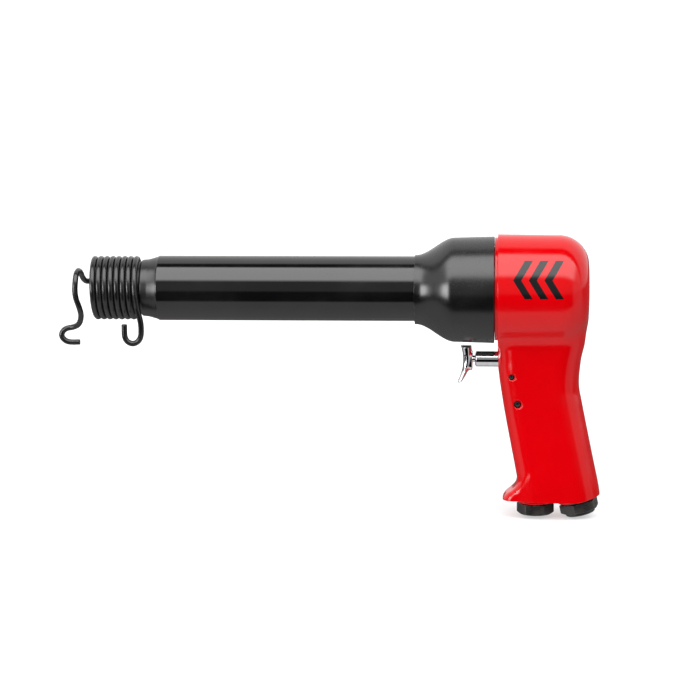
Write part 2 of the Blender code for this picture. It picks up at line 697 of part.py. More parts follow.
def throttle_seat():
    """A pressed-in seat bushing with a groove for its seal."""
    outline = [
        (60.0 * MM, 8.0 * MM), (58.6 * MM, 8.0 * MM), (58.6 * MM, 6.7 * MM), (56.4 * MM, 6.7 * MM),
        (56.4 * MM, 8.0 * MM), (54.0 * MM, 8.0 * MM), (54.0 * MM, 3.3 * MM), (60.0 * MM, 3.3 * MM),
    ]
    return finish(turned("throttle_seat", outline, (0, 0, 0), UPRIGHT, MEDIUM, ring=True), BRASS)


def throttle_seat_seal():
    obj = tube("throttle_seat_seal", 7.0 * MM, 8.1 * MM, 56.7 * MM, 58.3 * MM, (0, 0, 0), UPRIGHT)
    return finish(obj, RUBBER)


def throttle_valve():
    """The poppet: its stem's top is under the lever's pad, and its head closes the seat from below."""
    top = LEVER_PIVOT.z - LEVER_KNOB - GAP
    outline = [
        (top, 0.0), (top, 1.6 * MM), (top - 0.4 * MM, 2.0 * MM), (51.6 * MM, 2.0 * MM),
        (51.6 * MM, 5.5 * MM), (49.7 * MM, 5.5 * MM), (49.7 * MM, 2.3 * MM), (45.0 * MM, 2.3 * MM),
        (45.0 * MM, 0.0),
    ]
    return finish(turned("throttle_valve", outline, (0, 0, 0), UPRIGHT, MEDIUM), BRASS)


def throttle_valve_seal():
    obj = tube("throttle_valve_seal", 2.3 * MM, 5.3 * MM, 51.9 * MM, 53.7 * MM, (0, 0, 0), UPRIGHT)
    return finish(obj, RUBBER)


def throttle_spring():
    """A plain compression spring between the poppet's head and the plug's pocket."""
    low, high, radius, turns = 12.9 * MM, 48.8 * MM, 3.7 * MM, 8
    steps = turns * 8
    points = []
    for i in range(steps + 1):
        angle = 2 * math.pi * turns * i / steps
        points.append((radius * math.cos(angle), radius * math.sin(angle), low + (high - low) * i / steps))
    return finish(wire("throttle_spring", points, 0.45 * MM, (0, 0, 0)), SPRING_STEEL)


def throttle_plug():
    """The hexagonal plug under the grip, which closes the throttle's bore and carries its spring."""
    head_top = 6.7 * MM
    obj = hexagon("throttle_plug", PLUG_FLATS, 0.0, head_top, (0, 0, 0), UPRIGHT, PLUG_CORNER, True)
    shank = rod("plug_shank", 7.9 * MM, head_top - 2 * MM, 19.0 * MM, (0, 0, 0), UPRIGHT, MEDIUM,
                helper=True)
    pocket = rod("plug_pocket_cut", 5.2 * MM, 12.0 * MM, 22 * MM, (0, 0, 0), UPRIGHT, MEDIUM, helper=True)
    return finish(cut(boolean(obj, shank, "UNION"), pocket), BLACK_STEEL)


def throttle_plug_seal():
    obj = tube("throttle_plug_seal", 8.2 * MM, 10.0 * MM, 7.0 * MM, 7.7 * MM, (0, 0, 0), UPRIGHT)
    return finish(obj, RUBBER)


# ---------------------------------------------------------------- air inlet


def inlet_bushing():
    """The hose bushing: a hexagon, a round outer end and a shank, bored through for the fitting."""
    obj = hexagon("inlet_bushing", INLET_FLATS, -3.0 * MM, 3.0 * MM, INLET_PLACE, ALONG_INLET,
                  INLET_CORNER, False)
    body = turned("inlet_body", [
        (16.0 * MM, 0.0), (16.0 * MM, 8.7 * MM), (-2.0 * MM, 8.7 * MM), (-2.0 * MM, 9.4 * MM),
        (-4.6 * MM, 9.4 * MM), (-5.0 * MM, 9.0 * MM), (-5.0 * MM, 0.0),
    ], INLET_PLACE, ALONG_INLET, MEDIUM, helper=True)
    bore = turned("inlet_bushing_cut", [
        (18.0 * MM, 0.0), (18.0 * MM, 5.6 * MM), (-4.0 * MM, 5.9 * MM), (-6.0 * MM, 7.9 * MM),
        (-6.0 * MM, 0.0),
    ], INLET_PLACE, ALONG_INLET, MEDIUM, helper=True)
    return finish(cut(boolean(obj, body, "UNION"), bore), BLACK_STEEL)


def inlet_bushing_seal():
    obj = tube("inlet_bushing_seal", 9.0 * MM, 11.0 * MM, 3.3 * MM, 4.0 * MM, INLET_PLACE, ALONG_INLET)
    return finish(obj, RUBBER)


def inlet_screen():
    """A perforated disc above the bushing that keeps grit out."""
    obj = rod("inlet_screen", 8.6 * MM, 16.3 * MM, 17.3 * MM, INLET_PLACE, ALONG_INLET, MEDIUM)
    axis = Matrix.Rotation(-INLET_TILT, 4, "Y")
    for i in range(7):
        out = 0.0 if i == 0 else 4.6 * MM
        angle = 2 * math.pi * i / 6
        centre = axis @ Vector((out * math.cos(angle), out * math.sin(angle), 0.0))
        hole = rod(f"screen_cut_{i}", 1.3 * MM, 15 * MM, 19 * MM, Vector(INLET_PLACE) + centre,
                   ALONG_INLET, 12, helper=True)
        cut(obj, hole)
    return finish(obj, BRASS)


def main():
    handle()
    barrel()
    exhaust_deflector()
    barrel_lock_pin()
    barrel_seal()
    piston()
    valve_block()
    shuttle_valve()
    valve_cap()
    valve_dowel_pin()
    valve_washer()
    retainer_spring()
    trigger()
    trigger_stem()
    trigger_stem_seal()
    throttle_lever()
    cross_pin("lever_pin", LEVER_PIN_RADIUS, LEVER_PIVOT)
    cross_pin("lever_stop_pin", STOP_PIN_RADIUS, STOP_PIN_PLACE)
    throttle_seat()
    throttle_seat_seal()
    throttle_valve()
    throttle_valve_seal()
    throttle_spring()
    throttle_plug()
    throttle_plug_seal()
    inlet_bushing()
    inlet_bushing_seal()
    inlet_screen()


clear_scene()
PARTS = new_collection("air_hammer", helpers=False)
CUTTERS = new_collection("cutters", helpers=True)
main()
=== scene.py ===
import json
import math

import bmesh
import bpy
import numpy as np
from mathutils import Matrix, Vector


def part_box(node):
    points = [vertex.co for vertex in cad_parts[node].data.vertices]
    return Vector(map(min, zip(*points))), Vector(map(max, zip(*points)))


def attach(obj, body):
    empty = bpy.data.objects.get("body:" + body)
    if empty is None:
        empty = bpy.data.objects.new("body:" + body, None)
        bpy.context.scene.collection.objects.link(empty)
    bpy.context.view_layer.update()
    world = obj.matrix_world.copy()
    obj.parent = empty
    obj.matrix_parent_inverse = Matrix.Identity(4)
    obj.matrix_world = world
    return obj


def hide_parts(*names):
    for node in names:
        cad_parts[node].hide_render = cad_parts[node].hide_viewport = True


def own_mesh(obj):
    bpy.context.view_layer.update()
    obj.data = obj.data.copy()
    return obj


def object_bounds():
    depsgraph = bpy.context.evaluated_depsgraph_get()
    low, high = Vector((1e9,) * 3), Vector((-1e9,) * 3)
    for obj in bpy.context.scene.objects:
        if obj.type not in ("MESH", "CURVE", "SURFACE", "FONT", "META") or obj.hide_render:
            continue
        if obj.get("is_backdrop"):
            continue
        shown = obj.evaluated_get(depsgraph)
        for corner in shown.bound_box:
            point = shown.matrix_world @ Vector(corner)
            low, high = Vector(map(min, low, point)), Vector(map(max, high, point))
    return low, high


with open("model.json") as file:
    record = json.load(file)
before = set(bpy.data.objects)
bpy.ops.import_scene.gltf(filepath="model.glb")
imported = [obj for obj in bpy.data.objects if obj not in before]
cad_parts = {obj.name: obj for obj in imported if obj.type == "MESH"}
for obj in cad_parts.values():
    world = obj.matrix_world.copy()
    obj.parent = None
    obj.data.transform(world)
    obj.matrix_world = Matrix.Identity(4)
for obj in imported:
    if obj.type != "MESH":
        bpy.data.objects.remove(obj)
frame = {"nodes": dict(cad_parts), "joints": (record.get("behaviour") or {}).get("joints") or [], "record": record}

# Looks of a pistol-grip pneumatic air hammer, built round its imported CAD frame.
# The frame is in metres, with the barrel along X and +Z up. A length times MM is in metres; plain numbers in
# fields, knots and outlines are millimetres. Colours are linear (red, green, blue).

MM = 0.001
CAD_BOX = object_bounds()
RECORD = frame["record"]
JOINTS = {joint["name"]: joint for joint in frame["joints"]}
MOUNTS = {mount["name"]: mount for mount in RECORD["mounts"]}
SLOTS = {part["node"]: part["material_slot"] for part in RECORD["subparts"]}


# -------- places, from the frame


def centre(node):
    """The middle of a CAD node's box."""
    low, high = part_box(node)
    return (low + high) / 2


def size(node):
    """The sides of a CAD node's box."""
    low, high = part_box(node)
    return high - low


# The handle's front face is the plane that the rim stands out of.
RIM_LENGTH = 1.9 * MM
HEAD_RADIUS = size("handle").y / 2
FRONT_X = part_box("handle")[0].x + RIM_LENGTH
AXIS_Z = centre("barrel").z
STEM_Z = centre("trigger_stem").z
LEVER_PIVOT = Vector(JOINTS["lever_swing"]["pos_m"])
STOP_PIN = centre("lever_stop_pin")
INLET_MOUNT = MOUNTS["inlet_face"]
INLET_END = Vector((INLET_MOUNT["pos_m"][0], 0.0, INLET_MOUNT["pos_m"][2]))
INLET_UP = -Vector(INLET_MOUNT["axis"])

# Frames whose local Z is a piece's own axis, with zero at the front face or at the piece's outer end.
BARREL_FRAME = Matrix.Translation((FRONT_X, 0, AXIS_Z)) @ Matrix.Rotation(math.pi / 2, 4, "Y")
STEM_FRAME = Matrix.Translation((FRONT_X, 0, STEM_Z)) @ Matrix.Rotation(math.pi / 2, 4, "Y")
PLUG_FRAME = Matrix.Identity(4)
INLET_TILT = INLET_UP.angle(Vector((0, 0, 1)))
INLET_FRAME = Matrix.Translation(INLET_END) @ Matrix.Rotation(-INLET_TILT, 4, "Y")


def across(place):
    """A frame at a place with its local Z along the tool's Y."""
    return Matrix.Translation(place) @ Matrix.Rotation(-math.pi / 2, 4, "X")


# -------- mesh helpers

# Points this close become one. A shell's poles need more, as rounding parts the points that meet there.
WELD = 1e-7
SHELL_WELD = 1e-5
SHELL_HALVINGS = 30


def in_metres(outline):
    """An outline in millimetres, in metres."""
    return [tuple(value * MM for value in corner) for corner in outline]


def add_object(name, data):
    """An object with this data, in the scene."""
    obj = bpy.data.objects.new(name, data)
    bpy.context.scene.collection.objects.link(obj)
    return obj


def mesh_object(name, points, faces, weld=WELD):
    """An object of these faces, turned outwards; points within the weld distance become one."""
    mesh = bpy.data.meshes.new(name)
    mesh.from_pydata(np.asarray(points).tolist(), [], np.asarray(faces).tolist())
    shape = bmesh.new()
    shape.from_mesh(mesh)
    bmesh.ops.remove_doubles(shape, verts=shape.verts, dist=weld)
    bmesh.ops.recalc_face_normals(shape, faces=shape.faces)
    shape.to_mesh(mesh)
    shape.free()
    return add_object(name, mesh)


def grid_faces(rows, columns, wrap_rows=False):
    """Quads between neighbouring rows of points, each row a closed ring."""
    last = rows if wrap_rows else rows - 1
    i, j = np.meshgrid(np.arange(last), np.arange(columns), indexing="ij")
    k = (i + 1) % rows
    m = (j + 1) % columns
    quads = np.stack([i * columns + j, i * columns + m, k * columns + m, k * columns + j], axis=-1)
    return quads.reshape(-1, 4)


def rounded(outline, ring=False, steps=5):
    """The (height, radius, fillet) outline with an arc at each corner that has a fillet."""
    found = []
    for i, (height, radius, fillet) in enumerate(outline):
        at_end = not ring and i in (0, len(outline) - 1)
        if fillet == 0 or at_end:
            found.append((height, radius))
            continue
        corner = np.array((height, radius))
        before = np.array(outline[i - 1][:2]) - corner
        after = np.array(outline[(i + 1) % len(outline)][:2]) - corner
        before = before / np.linalg.norm(before)
        after = after / np.linalg.norm(after)
        half = math.acos(max(-1.0, min(1.0, float(before @ after)))) / 2
        middle = corner + (before + after) / np.linalg.norm(before + after) * fillet / math.sin(half)
        start = corner + before * fillet / math.tan(half) - middle
        end = corner + after * fillet / math.tan(half) - middle
        first = math.atan2(start[1], start[0])
        sweep = (math.atan2(end[1], end[0]) - first + math.pi) % (2 * math.pi) - math.pi
        for j in range(steps + 1):
            angle = first + sweep * j / steps
            found.append(tuple(middle + fillet * np.array((math.cos(angle), math.sin(angle)))))
    return found


def turned(name, outline, place, around, ring=False):
    """The (height, radius) outline turned about the frame's Z; a radius may be a function of the angle.

    A ring's outline is a closed loop. Any other outline starts and ends on the axis.
    """
    angles = np.linspace(0, 2 * math.pi, around, endpoint=False)
    rows = []
    for height, radius in outline:
        out = radius(angles) if callable(radius) else np.full(around, float(radius))
        level = np.full(around, height)
        rows.append(np.stack([out * np.cos(angles), out * np.sin(angles), level], axis=-1))
    points = np.concatenate(rows) @ np.array(place.to_3x3()).T + np.array(place.translation)
    return mesh_object(name, points, grid_faces(len(rows), around, ring))


def shell(name, field, spine, around, reach):
    """The closed surface where the field is zero, found along rays that fan out from a spine.

    The spine is (x, y, z, elevation) rows, from straight up to straight down.
    """
    spine = np.array(spine)
    angles = np.linspace(0, 2 * math.pi, around, endpoint=False)
    level = np.cos(spine[:, 3])[:, None]
    rays = np.stack([
        level * np.cos(angles), level * np.sin(angles),
        np.broadcast_to(np.sin(spine[:, 3])[:, None], (len(spine), around)),
    ], axis=-1)
    start = spine[:, None, :3]
    near = np.zeros((len(spine), around))
    far = np.full((len(spine), around), reach)
    for _ in range(SHELL_HALVINGS):
        middle = (near + far) / 2
        inside = field(*np.moveaxis(start + rays * middle[..., None], -1, 0)) < 0
        near = np.where(inside, middle, near)
        far = np.where(inside, far, middle)
    points = start + rays * near[..., None]
    return mesh_object(name, points.reshape(-1, 3), grid_faces(len(spine), around), SHELL_WELD)


def slice_off(obj, place, normal):
    """Cuts away what lies beyond a plane and closes the cut."""
    shape = bmesh.new()
    shape.from_mesh(obj.data)
    everything = shape.verts[:] + shape.edges[:] + shape.faces[:]
    bmesh.ops.bisect_plane(
        shape, geom=everything, dist=WELD, plane_co=place, plane_no=normal, clear_outer=True,
    )
    bmesh.ops.holes_fill(shape, edges=[edge for edge in shape.edges if edge.is_boundary], sides=0)
    bmesh.ops.recalc_face_normals(shape, faces=shape.faces)
    shape.to_mesh(obj.data)
    shape.free()


def boolean(obj, other, operation):
    """Joins or cuts with another object, which is then gone."""
    step = obj.modifiers.new("Boolean", "BOOLEAN")
    step.operation = operation
    step.solver = "MANIFOLD"
    step.object = other
    bpy.context.view_layer.update()
    graph = bpy.context.evaluated_depsgraph_get()
    made = bpy.data.meshes.new_from_object(obj.evaluated_get(graph))
    obj.modifiers.remove(step)
    obj.data = made
    bpy.data.objects.remove(other, do_unlink=True)


def cylinder(radius, low, high, place, around=96):
    """A cylinder to cut with."""
    return turned("cutter", [(high, 0.0), (high, radius), (low, radius), (low, 0.0)], place, around)


def block(low, high):
    """A box between two corners, to cut with."""
    shape = bmesh.new()
    place = Matrix.Translation((low + high) / 2) @ Matrix.Diagonal((*(high - low), 1.0))
    bmesh.ops.create_cube(shape, size=1.0, matrix=place)
    mesh = bpy.data.meshes.new("cutter")
    shape.to_mesh(mesh)
    shape.free()
    return add_object("cutter", mesh)


def tube_along(name, path, radius, around):
    """A round wire along a path, without twist, with its ends broken by a small chamfer."""
    path = np.array(path)
    tangents = np.gradient(path, axis=0)
    tangents /= np.linalg.norm(tangents, axis=1)[:, None]
    off_path = (0.0, 1.0, 0.3)
    side = np.cross(tangents[0], off_path)
    angles = np.linspace(0, 2 * math.pi, around, endpoint=False)[:, None]
    chamfer = 0.18 * radius
    rings = []
    for point, ahead in zip(path, tangents):
        side = side - ahead * (side @ ahead)
        side /= np.linalg.norm(side)
        up = np.cross(ahead, side)
        rings.append(point + radius * (np.cos(angles) * side + np.sin(angles) * up))
    for at, way in ((0, 1.0), (-1, -1.0)):
        face = path[at] + (rings[at] - path[at]) * (1 - chamfer / radius)
        rings[at] = rings[at] + tangents[at] * chamfer * way
        flat = np.repeat(path[at][None, :], around, axis=0)
        rings = [flat, face] + rings if at == 0 else rings + [face, flat]
    return mesh_object(name, np.concatenate(rings), grid_faces(len(rings), around))


def smooth_path(knots, per_span):
    """Points of a Catmull-Rom curve through the knots."""
    knots = [np.array(knot, float) for knot in knots]
    padded = [2 * knots[0] - knots[1]] + knots + [2 * knots[-1] - knots[-2]]
    found = []
    for a, b, c, d in zip(padded, padded[1:], padded[2:], padded[3:]):
        for t in np.arange(per_span) / per_span:
            square = (2 * a - 5 * b + 4 * c - d) * t ** 2
            cube = (3 * b - a - 3 * c + d) * t ** 3
            found.append(0.5 * (2 * b + (c - a) * t + square + cube))
    return found + [knots[-1]]


def relax(points, rounds):
    """Evens out a path, leaving its ends."""
    points = np.array(points)
    for _ in range(rounds):
        points[1:-1] = 0.5 * points[1:-1] + 0.25 * (points[:-2] + points[2:])
    return points


def finish_piece(obj, body, node, look, sharp=35.0):
    """Shades the piece, gives it its look and makes it stand for the CAD node on its body.

    Edges sharper than this many degrees stay hard.
    """
    obj.data.shade_smooth()
    obj.data.set_sharp_from_angle(angle=math.radians(sharp))
    normals = obj.modifiers.new("Normals", "WEIGHTED_NORMAL")
    normals.keep_sharp = True
    obj.data.materials.clear()
    obj.data.materials.append(look)
    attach(obj, body)
    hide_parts(node)


# -------- material helpers


def node(tree, kind, settings=None, **inputs):
    """Adds a node. An input is a number, a colour or another node's output; i0 is the first one."""
    made = tree.nodes.new("ShaderNode" + kind)
    for name, value in (settings or {}).items():
        setattr(made, name, value)
    for name, value in inputs.items():
        numbered = name[0] == "i" and name[1:].isdigit()
        socket = made.inputs[int(name[1:])] if numbered else made.inputs[name.replace("_", " ")]
        if isinstance(value, bpy.types.NodeSocket):
            tree.links.new(value, socket)
        else:
            socket.default_value = value
    return made


def maths(tree, operation, first, second=0.0, third=0.0):
    """One sum on up to three numbers or outputs."""
    settings = {"operation": operation}
    return node(tree, "Math", settings, i0=first, i1=second, i2=third).outputs[0]


def ramp(tree, value, low, high, to_low=0.0, to_high=1.0):
    """A smooth step of the value from low to high."""
    settings = {"interpolation_type": "SMOOTHSTEP"}
    return node(tree, "MapRange", settings, i0=value, i1=low, i2=high, i3=to_low, i4=to_high).outputs[0]


def mix(tree, share, first, second):
    """A colour between two colours."""
    made = node(tree, "Mix", {"data_type": "RGBA"}, i0=share)
    for socket, value in ((made.inputs[6], first), (made.inputs[7], second)):
        if isinstance(value, bpy.types.NodeSocket):
            tree.links.new(value, socket)
        else:
            socket.default_value = (*value, 1.0)
    return made.outputs[2]


def noise(tree, place, scale, stretch=(1.0, 1.0, 1.0), detail=3.0, roughness=0.55):
    """Noise with this many features to the metre, drawn out where the stretch is small."""
    mapped = node(tree, "Mapping", Vector=place, Scale=stretch).outputs[0]
    return node(tree, "TexNoise", Vector=mapped, Scale=scale, Detail=detail, Roughness=roughness).outputs[0]


def new_look(name):
    """A material, its node tree, its Principled shader and the place on the object, in metres."""
    material = bpy.data.materials.new(name)
    material.use_nodes = True
    tree = material.node_tree
    place = tree.nodes.new("ShaderNodeTexCoord").outputs["Object"]
    return material, tree, tree.nodes["Principled BSDF"], place


def soft_edges(tree, radius):
    """(normal with edges softened to the radius, mask of those edges)."""
    soft = node(tree, "Bevel", {"samples": 6}, Radius=radius).outputs[0]
    plain = tree.nodes.new("ShaderNodeNewGeometry").outputs["Normal"]
    turn = node(tree, "VectorMath", {"operation": "DOT_PRODUCT"}, i0=soft, i1=plain).outputs["Value"]
    return soft, ramp(tree, turn, 0.995, 0.90)


def bump(tree, height, strength, distance, normal=None):
    """A normal tipped by the height, on top of another normal if there is one."""
    made = node(tree, "Bump", Height=height, Strength=strength, Distance=distance)
    if normal is not None:
        tree.links.new(normal, made.inputs["Normal"])
    return made.outputs[0]


def link(tree, shader, **inputs):
    """Sets the shader's inputs to outputs, colours or numbers."""
    for name, value in inputs.items():
        socket = shader.inputs[name.replace("_", " ")]
        if isinstance(value, bpy.types.NodeSocket):
            tree.links.new(value, socket)
        elif isinstance(value, tuple):
            socket.default_value = (*value, 1.0)
        else:
            socket.default_value = value


# -------- materials

# The mark's middle is (x, z). Its slant is how far a bar leans for each unit of height.
MARK_PLACE = (FRONT_X + 25.2 * MM, AXIS_Z + 9.6 * MM)
MARK_HALF_HEIGHT = 11.5 * MM
MARK_BARS = 3
MARK_PITCH = 9.6 * MM
MARK_WIDTH = 5.0 * MM
MARK_SLANT = 0.62
MARK_BLUR = 0.12 * MM
MARK_BLACK = (0.006, 0.006, 0.007)

RED = (0.540, 0.0002, 0.0022)
DEEPER_RED = (0.510, 0.0002, 0.0020)
# Darker red for thin paint on the edges and for painted shade in the creases.
THIN_PAINT_AND_CREASE_SHADE_RED = (0.46, 0.002, 0.003)
OXIDE = (0.0030, 0.0030, 0.0034)
SMUDGED_OXIDE = (0.0075, 0.0070, 0.0070)
WORN_OXIDE = (0.16, 0.14, 0.12)
WORN_STEEL = (0.20, 0.165, 0.13)
CLEAN_CHROME = (0.93, 0.92, 0.95)
TOUCHED_CHROME = (0.84, 0.83, 0.86)

ENAMEL_ROUGHNESS = (0.11, 0.16)
ENAMEL_IOR = 1.46
OXIDE_IOR = 1.62
BLACK_STEEL_IOR = 1.6

# How much rougher the oxide is on the collar and nose, where that starts, and a place that no piece reaches.
SATIN_RISE = 0.22
COLLAR_X = FRONT_X - 214.6 * MM
NOWHERE_X = -1.0


def chevron_mask(tree, place):
    """Three plain chevrons on the near side of the head, pointing at the barrel."""
    axes = node(tree, "SeparateXYZ", Vector=place).outputs
    rise = maths(tree, "ABSOLUTE", maths(tree, "SUBTRACT", axes[2], MARK_PLACE[1]))
    along = maths(tree, "SUBTRACT", axes[0], MARK_PLACE[0])
    centred = maths(tree, "ADD", along, MARK_SLANT / 2 * MARK_HALF_HEIGHT)
    along = maths(tree, "MULTIPLY_ADD", rise, -MARK_SLANT, centred)

    def within(value, half):
        """One up to the half width, then zero."""
        return ramp(tree, value, half + MARK_BLUR, half - MARK_BLUR)

    # Forty pitches more keep the value above zero and change nothing else.
    repeated = maths(tree, "PINGPONG", maths(tree, "ADD", along, MARK_PITCH * 40), MARK_PITCH / 2)
    bars = within(repeated, MARK_WIDTH / 2)
    reach = within(maths(tree, "ABSOLUTE", along), MARK_BARS / 2 * MARK_PITCH)
    height = within(rise, MARK_HALF_HEIGHT)
    near = maths(tree, "LESS_THAN", axes[1], -0.5 * HEAD_RADIUS)
    run = maths(tree, "MULTIPLY", bars, reach)
    return maths(tree, "MULTIPLY", run, maths(tree, "MULTIPLY", height, near))


def red_paint():
    """Glossy enamel over a casting: faint orange peel, a cloudy variation, thinner paint on edges, painted shade
    in creases.
    """
    material, tree, shader, place = new_look("red_enamel")
    normal, edges = soft_edges(tree, 0.7 * MM)
    cloud = noise(tree, place, 28.0)
    tone = mix(tree, ramp(tree, cloud, 0.35, 0.65), RED, DEEPER_RED)
    # Darker red on the edge mask: thinner paint on convex edges, and painted shade where the mask reaches into
    # creases.
    tone = mix(tree, maths(tree, "MULTIPLY", edges, 0.35), tone, THIN_PAINT_AND_CREASE_SHADE_RED)
    tone = mix(tree, chevron_mask(tree, place), tone, MARK_BLACK)
    peel = noise(tree, place, 420.0, detail=2.0)
    casting = noise(tree, place, 60.0, detail=1.0)
    surface = bump(tree, casting, 0.10, 0.10 * MM, bump(tree, peel, 0.06, 0.05 * MM, normal))
    gloss = ramp(tree, noise(tree, place, 90.0), 0.3, 0.7, *ENAMEL_ROUGHNESS)
    link(tree, shader, Base_Color=tone, Roughness=gloss, Normal=surface, IOR=ENAMEL_IOR)
    return material


def black_oxide(name, smooth, satin_before):
    """Blackened turned steel: fine rings round the barrel's axis, smudges, and bare metal at edges.

    It is satin further forward than satin_before, an X in metres.
    """
    material, tree, shader, place = new_look(name)
    normal, edges = soft_edges(tree, 0.35 * MM)
    rings = noise(tree, place, 1.0, stretch=(2600.0, 25.0, 25.0), detail=2.0)
    smudge = noise(tree, place, 34.0, stretch=(0.6, 1.0, 1.0), detail=5.0, roughness=0.6)
    spots = noise(tree, place, 260.0, detail=4.0)
    tone = mix(tree, ramp(tree, smudge, 0.35, 0.7), OXIDE, SMUDGED_OXIDE)
    worn = maths(tree, "MULTIPLY", edges, ramp(tree, spots, 0.42, 0.6))
    tone = mix(tree, maths(tree, "MULTIPLY", worn, 0.5), tone, WORN_OXIDE)
    along = node(tree, "SeparateXYZ", Vector=place).outputs[0]
    gloss = ramp(tree, smudge, 0.3, 0.75, smooth, smooth + 0.07)
    gloss = maths(tree, "ADD", gloss, ramp(tree, spots, 0.5, 0.8, 0.0, 0.05))
    satin = ramp(tree, along, satin_before + MM, satin_before - MM, 0.0, SATIN_RISE)
    gloss = maths(tree, "ADD", gloss, satin)
    surface = bump(tree, rings, 0.10, 0.02 * MM, normal)
    link(tree, shader, Base_Color=tone, Roughness=gloss, Normal=surface, IOR=OXIDE_IOR)
    return material


def black_steel(name, worn_share, grain, smooth, light, dark):
    """Black finish on hexagons, wire and pins, with a share of its edges rubbed to brownish metal."""
    material, tree, shader, place = new_look(name)
    normal, edges = soft_edges(tree, 0.45 * MM)
    patches = noise(tree, place, 180.0, detail=5.0, roughness=0.65)
    fine = noise(tree, place, grain, detail=3.0)
    tone = mix(tree, ramp(tree, patches, 0.35, 0.7), dark, light)
    worn = maths(tree, "MULTIPLY", edges, ramp(tree, patches, 0.36, 0.56))
    tone = mix(tree, maths(tree, "MULTIPLY", worn, worn_share), tone, WORN_STEEL)
    gloss = ramp(tree, patches, 0.3, 0.7, smooth, smooth + 0.12)
    surface = bump(tree, fine, 0.12, 0.03 * MM, normal)
    link(tree, shader, Base_Color=tone, Roughness=gloss, Normal=surface, IOR=BLACK_STEEL_IOR)
    return material


def chrome():
    """Bright plating with faint polishing lines and fingerprints."""
    material, tree, shader, place = new_look("chrome_plate")
    normal, _ = soft_edges(tree, 0.3 * MM)
    lines = noise(tree, place, 1.0, stretch=(60.0, 900.0, 900.0), detail=2.0)
    prints = noise(tree, place, 160.0, detail=4.0)
    tone = mix(tree, ramp(tree, prints, 0.4, 0.7), CLEAN_CHROME, TOUCHED_CHROME)
    gloss = ramp(tree, prints, 0.35, 0.7, 0.05, 0.13)
    surface = bump(tree, lines, 0.03, 0.01 * MM, normal)
    link(tree, shader, Base_Color=tone, Metallic=1.0, Roughness=gloss, Normal=surface)
    return material


def bare_metal(name, light, dark, roughness):
    """Ground, drawn or turned metal: fine lines across the axis, a film of oil, darker specks."""
    material, tree, shader, place = new_look(name)
    normal, edges = soft_edges(tree, 0.3 * MM)
    lines = noise(tree, place, 1.0, stretch=(1500.0, 90.0, 1500.0), detail=3.0)
    film = noise(tree, place, 140.0, detail=4.0)
    tone = mix(tree, ramp(tree, film, 0.35, 0.7), light, dark)
    tone = mix(tree, maths(tree, "MULTIPLY", edges, 0.4), tone, light)
    gloss = ramp(tree, film, 0.3, 0.7, roughness - 0.06, roughness + 0.10)
    surface = bump(tree, lines, 0.15, 0.02 * MM, normal)
    link(tree, shader, Base_Color=tone, Metallic=1.0, Roughness=gloss, Normal=surface)
    return material


def moulded(name, light, dark, roughness):
    """Rubber or acetal: a fine grain and a patchy bloom."""
    material, tree, shader, place = new_look(name)
    normal, _ = soft_edges(tree, 0.3 * MM)
    bloom = noise(tree, place, 220.0, detail=4.0)
    grain = noise(tree, place, 3200.0, detail=2.0)
    tone = mix(tree, ramp(tree, bloom, 0.35, 0.7), light, dark)
    gloss = ramp(tree, bloom, 0.3, 0.7, roughness - 0.08, roughness + 0.08)
    surface = bump(tree, grain, 0.2, 0.02 * MM, normal)
    link(tree, shader, Base_Color=tone, Roughness=gloss, Normal=surface)
    return material


def make_looks():
    """A look for each of the record's slots, and one each for the wire, the bell and the pins."""
    return {
        "red_paint": red_paint(),
        "black_oxide": black_oxide("black_oxide_steel", smooth=0.08, satin_before=COLLAR_X),
        "black_steel": black_steel(
            "black_hexagon_steel", worn_share=0.9, grain=1400.0, smooth=0.26,
            light=(0.032, 0.029, 0.026), dark=(0.015, 0.015, 0.015),
        ),
        "chrome": chrome(),
        "ground_steel": bare_metal("ground_steel", (0.55, 0.55, 0.57), (0.38, 0.38, 0.40), 0.26),
        "spring_steel": bare_metal("drawn_spring_steel", (0.36, 0.36, 0.38), (0.22, 0.22, 0.24), 0.34),
        "brass": bare_metal("turned_brass", (0.78, 0.58, 0.27), (0.60, 0.42, 0.18), 0.28),
        "rubber": moulded("seal_rubber", (0.018, 0.018, 0.018), (0.030, 0.029, 0.028), 0.70),
        "acetal": moulded("white_acetal", (0.76, 0.75, 0.71), (0.66, 0.65, 0.60), 0.42),
        "wire_black": black_steel(
            "black_wire", worn_share=0.0, grain=900.0, smooth=0.17,
            light=(0.010, 0.010, 0.010), dark=(0.004, 0.004, 0.0045),
        ),
        "bell_black": black_oxide("black_oxide_bell", smooth=0.21, satin_before=NOWHERE_X),
        "pin_black": black_steel(
            "black_pin", worn_share=0.0, grain=1800.0, smooth=0.3,
            light=(0.010, 0.010, 0.010), dark=(0.004, 0.004, 0.004),
        ),
    }


LOOKS = make_looks()


# -------- handle

# A corner is a radius and a blend is the width of a fillet between two fields, here and in the trigger.
HEAD_LENGTH = 57.3
HEAD_CORNER = 17.5
HEAD_DRAFT = 0.6
HEAD_DRAFT_LENGTH = 50.0
HEAD_DOME = 0.0010
HEAD_OVERHANG = 8.0
HEAD_BLEND = 6.0
GRIP_TOP = 140.0
GRIP_BOTTOM = 9.8
GRIP_HALF_WIDTH = 16.6
FRONT_CORNER = 12.5
BACK_CORNER = 16.0
# How far up the inlet's axis the slanted underside lies.
UNDERSIDE_RISE = 10.0
LIP_FRONT = -21.0
LIP_HALF_LENGTH = 15.0
LIP_HALF_WIDTH = 12.0
LIP_CORNER = 7.5
LIP_BLEND = 7.0
# The lip's slanted top: an (x, z) point on it and its normal.
LIP_TOP_POINT = (-19.9, 13.0)
LIP_TOP_NORMAL = (-0.518, 0.857)
LIP_TOP_BLEND = 4.0

RIM_RADIUS = 32.4
RIM_OVERLAP = 6.0
# (radius, lower end) of the round bosses that the plug and the bushing screw into.
PLUG_BOSS = (11.2, 7.3)
INLET_BOSS = (13.0, 9.3)
BOSS_TOP = 24.0
BOSS_EDGE = 0.7
